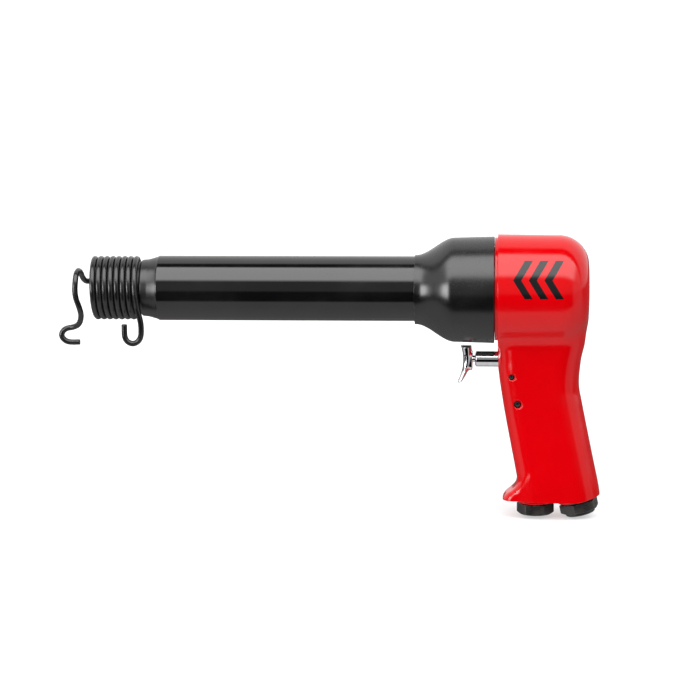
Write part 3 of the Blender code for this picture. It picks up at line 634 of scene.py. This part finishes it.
# (radius, radius at the skin, half length) of the cross pins' holes.
LEVER_PIN_HOLE = (2.3, 2.7, 15.9)
STOP_PIN_HOLE = (1.85, 2.15, 15.7)

# (height, radius) outlines of the bores for the power unit and the throttle valve.
POWER_BORE = [(38.0, 0.0), (38.0, 12.0), (14.3, 12.0), (14.3, 23.4), (-5.0, 23.4), (-5.0, 0.0)]
VALVE_BORE = [(69.8, 0.0), (69.8, 4.2), (60.3, 4.2), (60.3, 8.3), (-5.0, 8.3), (-5.0, 0.0)]
# (radius, low end, high end) of the plain bores, and the corners of the lever's slot.
STEM_BORE = (5.3 * MM, -5 * MM, 24.8 * MM)
INLET_BORE = (9.05 * MM, -15 * MM, 39 * MM)
RISER = (4.0 * MM, STEM_Z - 6 * MM, AXIS_Z - 8 * MM)
RISER_PLACE = Matrix.Translation((1.7 * MM, 0, 0))
SLOT_LOW = Vector((LEVER_PIVOT.x - 4.8 * MM, -2.7 * MM, LEVER_PIVOT.z - 6.3 * MM))
SLOT_HIGH = Vector((4.2 * MM, 2.7 * MM, STEM_Z + 2 * MM))

# (height, x) knots of the grip's back and front, down its middle.
BACK_KNOTS = [
    (150.0, 18.0), (132.0, 27.0), (114.4, 30.9), (99.0, 28.2), (84.0, 27.1), (70.7, 29.3), (39.8, 35.6),
    (17.0, 40.3), (8.0, 40.8),
]
FRONT_KNOTS = [
    (150.0, -10.0), (120.0, -23.9), (98.0, -24.1), (89.0, -23.3), (84.0, -22.6), (66.0, -19.7),
    (40.0, -14.8), (22.0, -11.4), (8.0, -9.2),
]


def spline(knots):
    """A smooth function through (height, value) knots."""
    steps_per_span = 24
    path = np.array(smooth_path(knots, steps_per_span))
    order = np.argsort(path[:, 0])
    return lambda height: np.interp(height, path[order, 0], path[order, 1])


GRIP_BACK = spline(BACK_KNOTS)
GRIP_FRONT = spline(FRONT_KNOTS)


def soft_least(a, b, blend):
    """The union of two fields, filleted."""
    share = np.clip(0.5 + 0.5 * (b - a) / blend, 0.0, 1.0)
    return b + (a - b) * share - blend * share * (1.0 - share)


def soft_most(a, b, blend):
    """What two fields share, with its edge rounded."""
    return -soft_least(-a, -b, blend)


def box_field(across_x, across_y, half_x, half_y, corner):
    """The distance outside a rectangle with round corners; negative inside."""
    out_x = np.abs(across_x) - half_x + corner
    out_y = np.abs(across_y) - half_y + corner
    outside = np.hypot(np.maximum(out_x, 0.0), np.maximum(out_y, 0.0))
    return outside + np.minimum(np.maximum(out_x, out_y), 0.0) - corner


def head_field(x, y, z):
    """A drum about the barrel's axis with a rounded, slightly domed back; x, y and z are millimetres."""
    front = FRONT_X / MM
    radius = HEAD_RADIUS / MM - HEAD_DRAFT * (1.0 + (x - front) / HEAD_DRAFT_LENGTH)
    out = np.hypot(y, z - AXIS_Z / MM)
    along = x - front + HEAD_DOME * out ** 2
    back_edge = along - (HEAD_LENGTH - HEAD_CORNER)
    side_edge = out - (radius - HEAD_CORNER)
    outside = np.hypot(np.maximum(back_edge, 0.0), np.maximum(side_edge, 0.0))
    drum = outside + np.minimum(np.maximum(back_edge, side_edge), 0.0) - HEAD_CORNER
    return np.maximum(drum, front - HEAD_OVERHANG - x)


def grip_field(x, y, z):
    """Level sections with flat sides, a tighter front and a fuller back."""
    back = GRIP_BACK(z)
    front = GRIP_FRONT(z)
    middle = (front + back) / 2
    corner = np.where(x < middle, FRONT_CORNER, BACK_CORNER)
    column = box_field(x - middle, y, (back - front) / 2, GRIP_HALF_WIDTH, corner)
    return np.maximum(column, z - GRIP_TOP)


def lip_field(x, y, z):
    """The finger lip at the toe: a wedge that slopes up to the grip's front."""
    middle = LIP_FRONT + LIP_HALF_LENGTH
    plan = box_field(x - middle, y, LIP_HALF_LENGTH, LIP_HALF_WIDTH, LIP_CORNER)
    slope = (x - LIP_TOP_POINT[0]) * LIP_TOP_NORMAL[0] + (z - LIP_TOP_POINT[1]) * LIP_TOP_NORMAL[1]
    return soft_most(plan, slope, LIP_TOP_BLEND)


def casting_field(x, y, z):
    """Head, grip and lip run together."""
    body = soft_least(head_field(x, y, z), grip_field(x, y, z), HEAD_BLEND)
    return soft_least(body, lip_field(x, y, z), LIP_BLEND)


def casting_spine():
    """From the top of the head down to below the toe, with more rows where the skin bends sharply."""
    centre_x = FRONT_X / MM + 30.0
    axis = AXIS_Z / MM
    merge_height = 30.0
    rows = [(centre_x, 0.0, axis, angle) for angle in np.linspace(math.pi / 2, 0.0, 56)]
    # (from, to, step) down the spine.
    runs = [(axis - 1.2, 121.0, 1.2), (121.0, 104.0, 0.5), (104.0, 28.0, 1.3), (28.0, 4.0, 0.3)]
    heights = np.concatenate([np.arange(high, low, -step) for high, low, step in runs])
    for height in heights:
        share = min(1.0, (axis - height) / merge_height)
        middle = (GRIP_FRONT(height) + GRIP_BACK(height)) / 2
        rows.append((centre_x + (middle - centre_x) * share, 0.0, height, 0.0))
    rows.append((*rows[-1][:3], -math.pi / 2))
    return rows


def casting():
    """Head, grip and lip as one skin, sliced level in front and below, and square to the inlet."""
    obj = shell("handle_casting", casting_field, casting_spine(), around=256, reach=80.0)
    obj.data.transform(Matrix.Scale(MM, 4))
    slice_off(obj, (FRONT_X, 0, 0), (-1, 0, 0))
    slice_off(obj, (0, 0, GRIP_BOTTOM * MM), (0, 0, -1))
    slice_off(obj, INLET_END + INLET_UP * UNDERSIDE_RISE * MM, -INLET_UP)
    return obj


def countersunk(hole, place):
    """A cutter for a pin's hole right through the grip, widened where it leaves the skin."""
    radius, mouth, half = (value * MM for value in hole)
    sink = mouth - radius
    beyond = half + 2 * MM
    outline = [
        (beyond, 0.0), (beyond, mouth + 2 * MM), (half, mouth), (half - sink, radius),
        (sink - half, radius), (-half, mouth), (-beyond, mouth + 2 * MM), (-beyond, 0.0),
    ]
    return turned("cutter", outline, across(place), 64)


def rim():
    """The thin ring that stands out of the handle's front face."""
    front = -RIM_LENGTH / MM
    back = RIM_OVERLAP
    outline = [(back, 0.0, 0), (back, RIM_RADIUS, 0), (front, RIM_RADIUS, 0.4), (front, 0.0, 0)]
    return turned("rim", rounded(in_metres(outline)), BARREL_FRAME, 192)


def boss(measures, place):
    """A round boss, with its lower edge rounded."""
    radius, low = measures
    outline = [(BOSS_TOP, 0.0, 0), (BOSS_TOP, radius, 0), (low, radius, BOSS_EDGE), (low, 0.0, 0)]
    return turned("boss", rounded(in_metres(outline)), place, 128)


def hollows():
    """Cutters for the casting's inside: power unit, stem, valve, inlet, air passage and lever."""
    yield turned("cutter", in_metres(POWER_BORE), BARREL_FRAME, 96)
    yield cylinder(*STEM_BORE, STEM_FRAME)
    yield turned("cutter", in_metres(VALVE_BORE), PLUG_FRAME, 64)
    yield cylinder(*INLET_BORE, INLET_FRAME, 64)
    yield cylinder(*RISER, RISER_PLACE, 48)
    yield block(SLOT_LOW, SLOT_HIGH)


def handle():
    """The casting with its rim and bosses, bored for what goes inside."""
    obj = casting()
    boolean(obj, rim(), "UNION")
    boolean(obj, boss(PLUG_BOSS, PLUG_FRAME), "UNION")
    boolean(obj, boss(INLET_BOSS, INLET_FRAME), "UNION")
    boolean(obj, countersunk(LEVER_PIN_HOLE, LEVER_PIVOT), "DIFFERENCE")
    boolean(obj, countersunk(STOP_PIN_HOLE, STOP_PIN), "DIFFERENCE")
    for cutter in hollows():
        boolean(obj, cutter, "DIFFERENCE")
    finish_piece(obj, "tool", "handle", LOOKS["red_paint"])


# -------- barrel and deflector

# Outlines along the barrel are (x from the handle's front face, radius, fillet).
TUBE_RADIUS = 20.5
TUBE_FRONT = -214.3
WAIST_LENGTH = 7.0
WAIST_DEPTH = 2.3
WAIST_POWER = 0.75
NOSE_FRONT = -254.0
NOSE_RADIUS = 16.7
SOCKET_RADIUS = 6.45
SOCKET_BACK = -212.0
PISTON_BORE = 9.55
PORT_X = -30.0
PORT_RADIUS = 3.0 * MM
PORT_REACH = 26.0 * MM

BELL_REAR = -2.2
BELL_SHOULDER = -27.0
BELL_FLARE = -51.5
BELL_LIP = -52.2
BELL_LIP_RADIUS = 21.9
BELL_FLARE_RISE = 11.0
BELL_SHOULDER_RISE = 0.7
BELL_WALL = 1.9
BELL_BORE = 23.5
# It hangs this much below the barrel's axis.
BELL_SAG = 0.6 * MM


def barrel():
    """Thread, flange, long tube, concave waist, collar and nose, bored through, with four exhaust ports."""
    waist = [
        (TUBE_FRONT - WAIST_LENGTH * t, TUBE_RADIUS - WAIST_DEPTH * t ** WAIST_POWER, 0.0)
        for t in np.linspace(0.1, 1.0, 10)
    ]
    outline = [
        (10.0, 22.9, 0.3), (1.2, 22.9, 0.0), (1.2, 21.0, 0.0), (-1.4, 21.0, 0.0), (-1.4, 22.9, 0.0),
        (-4.5, 22.9, 0.0), (-4.5, 28.0, 0.4), (-8.5, 28.0, 0.4), (-8.5, TUBE_RADIUS, 0.5),
        (TUBE_FRONT, TUBE_RADIUS, 0.6), *waist, (-225.9, 17.8, 1.8), (-225.9, NOSE_RADIUS, 0.3),
        (NOSE_FRONT, NOSE_RADIUS, 0.8), (NOSE_FRONT, 7.4, 0.2), (-253.0, SOCKET_RADIUS, 0.2),
        (SOCKET_BACK, SOCKET_RADIUS, 0.0), (SOCKET_BACK, PISTON_BORE, 0.0), (-12.0, PISTON_BORE, 0.3),
        (-12.0, 17.6, 0.0), (10.0, 17.6, 0.3),
    ]
    obj = turned("barrel_tube", rounded(in_metres(outline), ring=True), BARREL_FRAME, 192, ring=True)
    for turn in (0.0, math.pi / 2):
        place = Matrix.Translation((FRONT_X + PORT_X * MM, 0, AXIS_Z)) @ Matrix.Rotation(turn, 4, "X")
        boolean(obj, cylinder(PORT_RADIUS, -PORT_REACH, PORT_REACH, place, 48), "DIFFERENCE")
    finish_piece(obj, "tool", "barrel", LOOKS["black_oxide"])


def bell_radius(x):
    """Outer radius of the deflector at x: an S-shaped flare, then a slight rise to the rear."""
    t = min(1.0, max(0.0, (x - BELL_FLARE) / (BELL_SHOULDER - BELL_FLARE)))
    flare = t * t * (3 - 2 * t)
    rise = max(0.0, (x - BELL_SHOULDER) / (BELL_REAR - BELL_SHOULDER))
    return BELL_LIP_RADIUS + BELL_FLARE_RISE * flare + BELL_SHOULDER_RISE * rise


def exhaust_bell():
    """A spun bell round the exhaust ports, open in a thin ring at its lip."""
    body = np.linspace(BELL_REAR, BELL_SHOULDER, 12)
    flare = np.linspace(BELL_SHOULDER - 1.0, BELL_LIP, 40)
    stations = np.concatenate([body, flare])
    outer = [(x, bell_radius(x), 0.5 if i == 0 else 0.0) for i, x in enumerate(stations)]
    # The inner skin runs back from just behind the lip to the flange.
    inner = [(x, bell_radius(x) - BELL_WALL, 0.0) for x in stations[-5:8:-1]]
    outline = outer + [(BELL_LIP, 21.2, 0.0)] + inner
    outline += [(-4.2, 31.7, 0.5), (-4.2, BELL_BORE, 0.2), (BELL_REAR, BELL_BORE, 0.2)]
    hanging = Matrix.Translation((0, 0, -BELL_SAG)) @ BARREL_FRAME
    obj = turned("exhaust_bell", rounded(in_metres(outline), ring=True), hanging, 192, ring=True)
    finish_piece(obj, "tool", "exhaust_deflector", LOOKS["bell_black"])


# -------- retainer spring

WIRE_RADIUS = 1.8 * MM
WIRE_SHARP = 50.0
COIL_RADIUS = 18.65
COIL_FRONT = -255.7
COIL_PITCH = 3.8
COIL_TURNS = 7.25
STEPS_PER_TURN = 72
STEPS_PER_KNOT = 10
# The piece of coil, in turns, that gives each hook the coil's own direction.
COIL_JOIN = 0.05

# Knots from the middle of the handle's front face. The wire leaves the far side of the first turn,
# arches over the chisel's shank, runs down its near side and ends in a finger curl.
FRONT_HOOK = [
    (-266.3, -1.0, -34.9), (-273.2, -1.0, -34.9), (-276.6, -1.0, -33.2), (-278.0, -1.0, -30.6),
    (-277.1, -1.0, -27.9), (-274.6, -1.4, -26.1), (-270.6, -2.0, -25.2), (-267.0, -3.8, -23.5),
    (-264.9, -6.0, -20.4), (-264.0, -8.6, -15.6), (-265.0, -10.8, -10.2), (-266.5, -11.9, -5.0),
    (-266.9, -12.1, 0.0), (-266.7, -11.4, 5.0), (-266.6, -8.0, 9.4), (-266.4, -1.0, 11.0),
    (-266.2, 6.5, 8.7), (-266.0, 12.0, 5.0), (-264.6, 16.0, 2.3), (-262.0, 18.4, 2.0),
    (-258.8, 18.8, 4.6), (-257.0, 16.6, 9.0), (-256.2, 9.8, 16.0),
]
# The last turn runs off downwards and ends in a hook below the coil.
REAR_HOOK = [
    (-227.4, -18.6, -5.4), (-226.5, -18.5, -11.6), (-225.1, -18.2, -16.8), (-224.4, -17.9, -21.0),
    (-224.4, -17.2, -25.4), (-225.0, -16.4, -29.4), (-227.1, -15.8, -32.4), (-230.2, -15.5, -33.6),
    (-233.3, -15.5, -32.4), (-235.0, -15.5, -29.6), (-235.3, -15.5, -26.2), (-235.3, -15.5, -21.3),
]


def coil_point(turns):
    """A point this many turns behind the coil's front end."""
    angle = 2 * math.pi * turns
    return (
        COIL_FRONT + COIL_PITCH * turns, -COIL_RADIUS * math.sin(angle), COIL_RADIUS * math.cos(angle),
    )


def retainer_spring():
    """Front hook, coil and rear hook, as one wire."""
    steps = round(COIL_TURNS * STEPS_PER_TURN)
    coil = [np.array(coil_point(COIL_TURNS * i / steps)) for i in range(steps + 1)]
    front = FRONT_HOOK + [coil_point(0.0), coil_point(COIL_JOIN)]
    rear = [coil_point(COIL_TURNS - COIL_JOIN), coil[-1]] + REAR_HOOK
    lead_in = smooth_path(front, STEPS_PER_KNOT)[:-STEPS_PER_KNOT]
    run_off = smooth_path(rear, STEPS_PER_KNOT)[STEPS_PER_KNOT + 1:]
    path = relax(np.concatenate([lead_in, coil[1:], run_off]), rounds=6)
    path = path * MM + np.array(BARREL_FRAME.translation)
    obj = tube_along("retainer_spring_wire", path, WIRE_RADIUS, 24)
    finish_piece(obj, "retainer", "retainer_spring", LOOKS["wire_black"], WIRE_SHARP)


# -------- trigger

# In this section x is from the handle's front face and z from the stem's axis. An arc is (x, z, radius).
TRIGGER_TOP = 8.9
TRIGGER_BOTTOM = -15.0
TRIGGER_HALF_WIDTH = 7.2
TRIGGER_CROWN = 24.0 * MM
FINGER_ARC = (-51.8, -0.5, 30.0)
BACK_ARC = (-47.5, 4.5, 31.1)
CRESCENT_BLEND = 1.2
FLANK_BLEND = 5.0
HUB_PLACE = (-18.4, -1.3)
HUB_HALF_LENGTH = 2.5
HUB_HALF_HEIGHT = 5.7
HUB_HALF_WIDTH = 5.2
HUB_CORNER = 3.0
HUB_EDGE = 1.0
HUB_BLEND = 1.6
SPIGOT_HOLE = 2.5 * MM
# The skin is cut this far above the crown's top edge before the crown trims it.
CROWN_SPARE = 2.0


def trigger_field(x, y, z):
    """A crescent plate, hollow in front for the finger, and a hub for the stem."""
    hollow = FINGER_ARC[2] - np.hypot(x - FINGER_ARC[0], z - FINGER_ARC[1])
    back = np.hypot(x - BACK_ARC[0], z - BACK_ARC[1]) - BACK_ARC[2]
    plate = soft_most(hollow, back, CRESCENT_BLEND)
    plate = soft_most(plate, np.abs(y) - TRIGGER_HALF_WIDTH, FLANK_BLEND)
    hub = box_field(z - HUB_PLACE[1], y, HUB_HALF_HEIGHT, HUB_HALF_WIDTH, HUB_CORNER)
    hub = soft_most(hub, np.abs(x - HUB_PLACE[0]) - HUB_HALF_LENGTH, HUB_EDGE)
    body = soft_least(plate, hub, HUB_BLEND)
    body = np.maximum(body, z - TRIGGER_TOP - CROWN_SPARE)
    return soft_most(body, TRIGGER_BOTTOM - z, CRESCENT_BLEND)


def trigger_middle(height):
    """The middle of the crescent at a height, from its two arcs."""
    edges = [x + math.sqrt(radius ** 2 - (height - z) ** 2) for x, z, radius in (FINGER_ARC, BACK_ARC)]
    return sum(edges) / 2


def trigger():
    """The crescent, with a hole for the stem's spigot and a top rounded across the tool."""
    # The spine stays inside the skin at both ends.
    high = TRIGGER_TOP - 2.2
    low = TRIGGER_BOTTOM + 1.0
    rows = [(trigger_middle(high), 0.0, high, angle) for angle in np.linspace(math.pi / 2, 0.0, 30)]
    for height in np.linspace(high, low, 110)[1:]:
        rows.append((trigger_middle(height), 0.0, height, 0.0))
    rows += [(*rows[-1][:3], angle) for angle in np.linspace(0.0, -math.pi / 2, 16)[1:]]
    obj = shell("trigger_crescent", trigger_field, rows, around=192, reach=20.0)
    obj.data.transform(Matrix.Scale(MM, 4))
    obj.data.transform(Matrix.Translation((FRONT_X, 0, STEM_Z)))
    boolean(obj, cylinder(SPIGOT_HOLE, -20.2 * MM, -10 * MM, STEM_FRAME, 48), "DIFFERENCE")
    crown = Matrix.Translation((0, 0, TRIGGER_TOP * MM - TRIGGER_CROWN)) @ STEM_FRAME
    boolean(obj, cylinder(TRIGGER_CROWN, -40 * MM, 0.0, crown, 512), "INTERSECT")
    finish_piece(obj, "trigger", "trigger", LOOKS["chrome"])


def trigger_stem():
    """The push rod, with its spigot, seal groove and the notch for the lever's knob."""
    notch_half = 2.5 * MM
    clear = 8 * MM
    outline = [
        (18.0, 0.0, 0), (18.0, 5.0, 0.4), (7.1, 5.0, 0.1), (7.1, 3.6, 0.1), (4.3, 3.6, 0.1),
        (4.3, 5.0, 0.1), (-13.6, 5.0, 0.5), (-14.3, 3.9, 0.3), (-14.3, 2.2, 0.1), (-19.9, 2.2, 0.3),
        (-19.9, 0.0, 0),
    ]
    obj = turned("trigger_rod", rounded(in_metres(outline)), STEM_FRAME, 96)
    low = Vector((LEVER_PIVOT.x - notch_half, -clear, STEM_Z - clear))
    high = Vector((LEVER_PIVOT.x + notch_half, clear, STEM_Z + notch_half))
    boolean(obj, block(low, high), "DIFFERENCE")
    finish_piece(obj, "trigger", "trigger_stem", LOOKS["chrome"])


# -------- pins, plug and inlet

# Each end of a pin is this much shorter than the CAD's, which brings it below the softer skin.
PIN_SHORT = 1.1 * MM
PIN_RECESS = 0.9 * MM
PIN_FACE_CHAMFER = 0.35 * MM
PIN_SIDE_CHAMFER = 0.5 * MM
PIN_EDGE = 0.1 * MM

PLUG_FLATS = 20.6 * MM
PLUG_SPIN = math.radians(87.0)
PLUG_HEAD = 6.7 * MM
INLET_FLATS = 22.2 * MM
INLET_SPIN = math.radians(46.0)
INLET_HEAD = (2.0 * MM, 8.0 * MM)
# The chamfer on a hexagon's corners runs this much outwards for each unit of height, about 30 degrees.
HEXAGON_CHAMFER = 1.75
HEXAGON_CHAMFER_INSET = 0.35 * MM
HEXAGON_EDGE = 0.25 * MM
HEXAGON_SHARPNESS = 90.0
HEXAGON_RINGS = 44


def cross_pin(name, node_name, socket):
    """A pin through the grip, with chamfered ends and a small recess in each."""
    half = size(node_name).y / 2 - PIN_SHORT
    radius = size(node_name).x / 2
    face = radius - PIN_FACE_CHAMFER
    side = half - PIN_SIDE_CHAMFER
    mouth = socket + 0.1 * MM
    low = half - PIN_RECESS
    outline = [
        (low, 0.0, 0), (low, socket, PIN_EDGE / 2), (half, mouth, PIN_EDGE), (half, face, PIN_EDGE),
        (side, radius, 2 * PIN_EDGE), (-side, radius, 2 * PIN_EDGE), (-half, face, PIN_EDGE),
        (-half, mouth, PIN_EDGE), (-low, socket, PIN_EDGE / 2), (-low, 0.0, 0),
    ]
    obj = turned(name, rounded(outline, steps=3), across(centre(node_name)), 64)
    finish_piece(obj, "tool", node_name, LOOKS["pin_black"])


def hexagon_radius(flats, limit, spin):
    """The radius of a hexagon with slightly rounded corners, no further out than the limit."""

    def radius(angles):
        total = np.zeros_like(angles)
        for i in range(6):
            facing = np.cos(angles - spin - math.pi * i / 3)
            total += np.maximum(facing, 0.0) ** HEXAGON_SHARPNESS
        edge = flats / 2 / total ** (1 / HEXAGON_SHARPNESS)
        return soft_least(edge, np.full_like(edge, limit), HEXAGON_EDGE)

    return radius


def hexagon_rings(flats, low, high, spin):
    """Rings down a hexagon, from high to low, with the corners of its lower end turned off."""
    corner = flats / math.sqrt(3)
    flat_edge = flats / 2 - HEXAGON_CHAMFER_INSET
    rings = []
    for height in np.linspace(high, low, HEXAGON_RINGS):
        limit = min(corner + MM, flat_edge + (height - low) * HEXAGON_CHAMFER)
        rings.append((height, hexagon_radius(flats, limit, spin)))
    return rings


def throttle_plug():
    """Hexagon and hollow shank; heights from the outer end."""
    head = hexagon_rings(PLUG_FLATS, 0.0, PLUG_HEAD, PLUG_SPIN)
    shank = in_metres([(12.0, 0.0), (12.0, 5.2), (19.0, 5.2), (19.0, 7.5), (18.6, 7.9), (6.7, 7.9)])
    obj = turned("throttle_plug_hexagon", shank + head + [(0.0, 0.0)], PLUG_FRAME, 240)
    finish_piece(obj, "tool", "throttle_plug", LOOKS["black_steel"])


def inlet_bushing():
    """Hexagon, round outer end with its chamfer, bore and shank; heights from the outer end."""
    head = hexagon_rings(INLET_FLATS, *INLET_HEAD, INLET_SPIN)
    shank = [(21.0, 5.6, 0), (21.0, 8.3, 0.2), (20.6, 8.7, 0.2), (8.0, 8.7, 0)]
    nose = [
        (2.0, 9.4, 0.2), (0.5, 9.4, 0.3), (0.0, 8.9, 0.2), (0.0, 6.9, 0.2), (1.2, 5.9, 0.2),
        (21.0, 5.6, 0),
    ]
    outline = rounded(in_metres(shank)) + head + rounded(in_metres(nose))
    obj = turned("inlet_hexagon", outline, INLET_FRAME, 240)
    finish_piece(obj, "tool", "inlet_bushing", LOOKS["black_steel"])


def throttle_spring():
    """The throttle's coil, at the length of its CAD node; the real coil shortens as the valve drops."""
    low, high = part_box("throttle_spring")
    wire = 0.45 * MM
    radius = size("throttle_spring").x / 2 - wire
    end_gap = 0.5 * MM
    rise = high.z - low.z - 2 * end_gap
    turns = 8
    steps = 48
    path = []
    for i in range(turns * steps + 1):
        angle = 2 * math.pi * i / steps
        height = low.z + end_gap + rise * i / (turns * steps)
        path.append((radius * math.cos(angle), radius * math.sin(angle), height))
    obj = tube_along("throttle_spring_wire", path, wire, 14)
    finish_piece(obj, "tool", "throttle_spring", LOOKS["spring_steel"], WIRE_SHARP)
    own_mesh(obj)


# -------- studio

SOFTBOX_POWER = 2.9
WINDOW_POWER = 9.0
SIDE_POWER = 0.5
TABLE_POWER = 0.6
ROOM_POWER = 0.28
FILL_POWER = 1.8
FILL_ANGLE = math.radians(70.0)
FILL_TURN = math.radians(155.0)

# Where the studio's parts lie, in degrees. Lift goes round the barrel's axis, from the near side over the
# top, and turn goes to the right. A soft edge is (from, to) and a band is two of them.
BEHIND_LIFT = (100.0, 108.0)
ABOVE_BAND = ((28, 40), (86, 90))
ROOM_BAND = ((-45, -38), (24, 36))
ROOM_LIFT = (-8.0, 0.0)
TABLE_LIFT = (-38.0, -45.0)
TABLE_FADE = (-165.0, -75.0)
TABLE_FAR_SHARE = 0.25
SIDE_TURN = (46.0, 58.0)
SOFTBOX_LIFT = ((28, 40), (84, 87))
SOFTBOX_TURN = ((-54, -34), (48, 62))
WINDOW_LIFT = ((-18, -8), (18, 28))
WINDOW_TURN = ((-68, -56), (-42, -34))

FLOOR_DROP = 0.3 * MM
FLOOR_HALF_WIDTH = 30.0
FLOOR_GLOW = 0.5

AZIMUTH = math.radians(3.8)
ELEVATION = math.radians(9.0)
ROLL = math.radians(-0.32)
# The camera looks at a point this far from the middle of the CAD's box.
AIM_OFFSET = Vector((13.9, 0.0, 16.0)) * MM
DISTANCE = 1.58
LENS = 128.0
SENSOR_WIDTH = 36.0


def band(tree, value, edges):
    """One between the rise (from, to) and the fall (from, to), else zero."""
    rise, fall = edges
    return maths(tree, "MULTIPLY", ramp(tree, value, *rise), ramp(tree, value, fall[1], fall[0]))


def studio_light():
    """A long softbox over the near side, a window in front on the left, white card behind and on the right.

    What the tool mirrors in front is a dark room, and below it a grey table. The camera sees only white.
    """
    world = bpy.data.worlds.new("studio")
    bpy.context.scene.world = world
    world.use_nodes = True
    tree = world.node_tree
    direction = tree.nodes.new("ShaderNodeTexCoord").outputs["Generated"]
    facing = node(tree, "SeparateXYZ", Vector=direction).outputs
    lift = maths(tree, "ARCTAN2", facing[2], maths(tree, "MULTIPLY", facing[1], -1.0))
    lift = maths(tree, "MULTIPLY", lift, 180 / math.pi)
    turn = maths(tree, "MULTIPLY", maths(tree, "ARCSINE", facing[0]), 180 / math.pi)

    behind = ramp(tree, lift, *BEHIND_LIFT)
    table = maths(tree, "MULTIPLY", ramp(tree, lift, *TABLE_LIFT), TABLE_POWER)
    table = maths(tree, "MULTIPLY", table, ramp(tree, lift, *TABLE_FADE, TABLE_FAR_SHARE, 1.0))
    above = band(tree, lift, ABOVE_BAND)
    room = band(tree, lift, ROOM_BAND)
    side = maths(tree, "MULTIPLY", ramp(tree, turn, *SIDE_TURN), SIDE_POWER)
    softbox = maths(tree, "MULTIPLY", band(tree, lift, SOFTBOX_LIFT), band(tree, turn, SOFTBOX_TURN))
    window = maths(tree, "MULTIPLY", band(tree, lift, WINDOW_LIFT), band(tree, turn, WINDOW_TURN))

    power = maths(tree, "ADD", behind, table)
    power = maths(tree, "ADD", power, above)
    power = maths(tree, "MULTIPLY_ADD", room, side, power)
    power = maths(tree, "MULTIPLY_ADD", room, ramp(tree, lift, *ROOM_LIFT, 0.0, ROOM_POWER), power)
    power = maths(tree, "MULTIPLY_ADD", softbox, SOFTBOX_POWER, power)
    power = maths(tree, "MULTIPLY_ADD", window, WINDOW_POWER, power)
    seen = tree.nodes.new("ShaderNodeLightPath").outputs["Is Camera Ray"]
    power = maths(tree, "ADD", maths(tree, "MULTIPLY", power, maths(tree, "SUBTRACT", 1.0, seen)), seen)
    background = tree.nodes["Background"]
    tree.links.new(power, background.inputs["Strength"])
    background.inputs["Color"].default_value = (1.0, 1.0, 1.0, 1.0)


def fill_light():
    """Light thrown up by the pale table, which warms the red without showing in the black."""
    data = bpy.data.lights.new("fill", "SUN")
    data.energy = FILL_POWER
    data.angle = FILL_ANGLE
    lamp = add_object("fill", data)
    lamp.rotation_euler = (FILL_TURN, 0.0, 0.0)
    lamp.visible_glossy = False


def pale_floor():
    """The camera sees this floor; the tool mirrors the studio's table in its place."""
    mesh = bpy.data.meshes.new("floor")
    shape = bmesh.new()
    bmesh.ops.create_grid(shape, x_segments=1, y_segments=1, size=FLOOR_HALF_WIDTH)
    shape.to_mesh(mesh)
    shape.free()
    floor = add_object("floor", mesh)
    floor.location.z = CAD_BOX[0].z - FLOOR_DROP
    floor.visible_glossy = False
    floor.visible_diffuse = False
    floor.visible_shadow = False
    material, tree, shader, place = new_look("pale_floor")
    tone = mix(tree, noise(tree, place, 3.0), (0.50, 0.50, 0.50), (0.48, 0.48, 0.48))
    link(tree, shader, Base_Color=tone, Roughness=0.9, Specular_IOR_Level=0.0)
    link(tree, shader, Emission_Color=(1.0, 1.0, 1.0), Emission_Strength=FLOOR_GLOW)
    mesh.materials.append(material)
    floor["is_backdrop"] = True


def camera():
    """A long lens, a little behind the tool's side and a little above it."""
    aim = (CAD_BOX[0] + CAD_BOX[1]) / 2 + AIM_OFFSET
    level = math.cos(ELEVATION)
    back = Vector((math.sin(AZIMUTH) * level, -math.cos(AZIMUTH) * level, math.sin(ELEVATION)))
    data = bpy.data.cameras.new("camera")
    data.lens = LENS
    data.sensor_width = SENSOR_WIDTH
    data.clip_end = 100.0
    obj = add_object("camera", data)
    turn = (-back).to_track_quat("-Z", "Y").to_matrix().to_4x4()
    obj.matrix_world = Matrix.Translation(aim + back * DISTANCE) @ turn @ Matrix.Rotation(ROLL, 4, "Z")
    bpy.context.scene.camera = obj


# -------- the whole tool

for name, obj in frame["nodes"].items():
    obj.data.materials.clear()
    obj.data.materials.append(LOOKS[SLOTS[name]])

handle()
barrel()
exhaust_bell()
retainer_spring()
trigger()
trigger_stem()
cross_pin("lever_pin_rod", "lever_pin", socket=0.9 * MM)
cross_pin("lever_stop_pin_rod", "lever_stop_pin", socket=0.7 * MM)
throttle_plug()
inlet_bushing()
throttle_spring()

studio_light()
fill_light()
pale_floor()
camera()
bpy.context.scene.view_settings.view_transform = "Standard"

boxes = {"cad": CAD_BOX, "visual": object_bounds()}
{name: [list(corner) for corner in box] for name, box in boxes.items()}
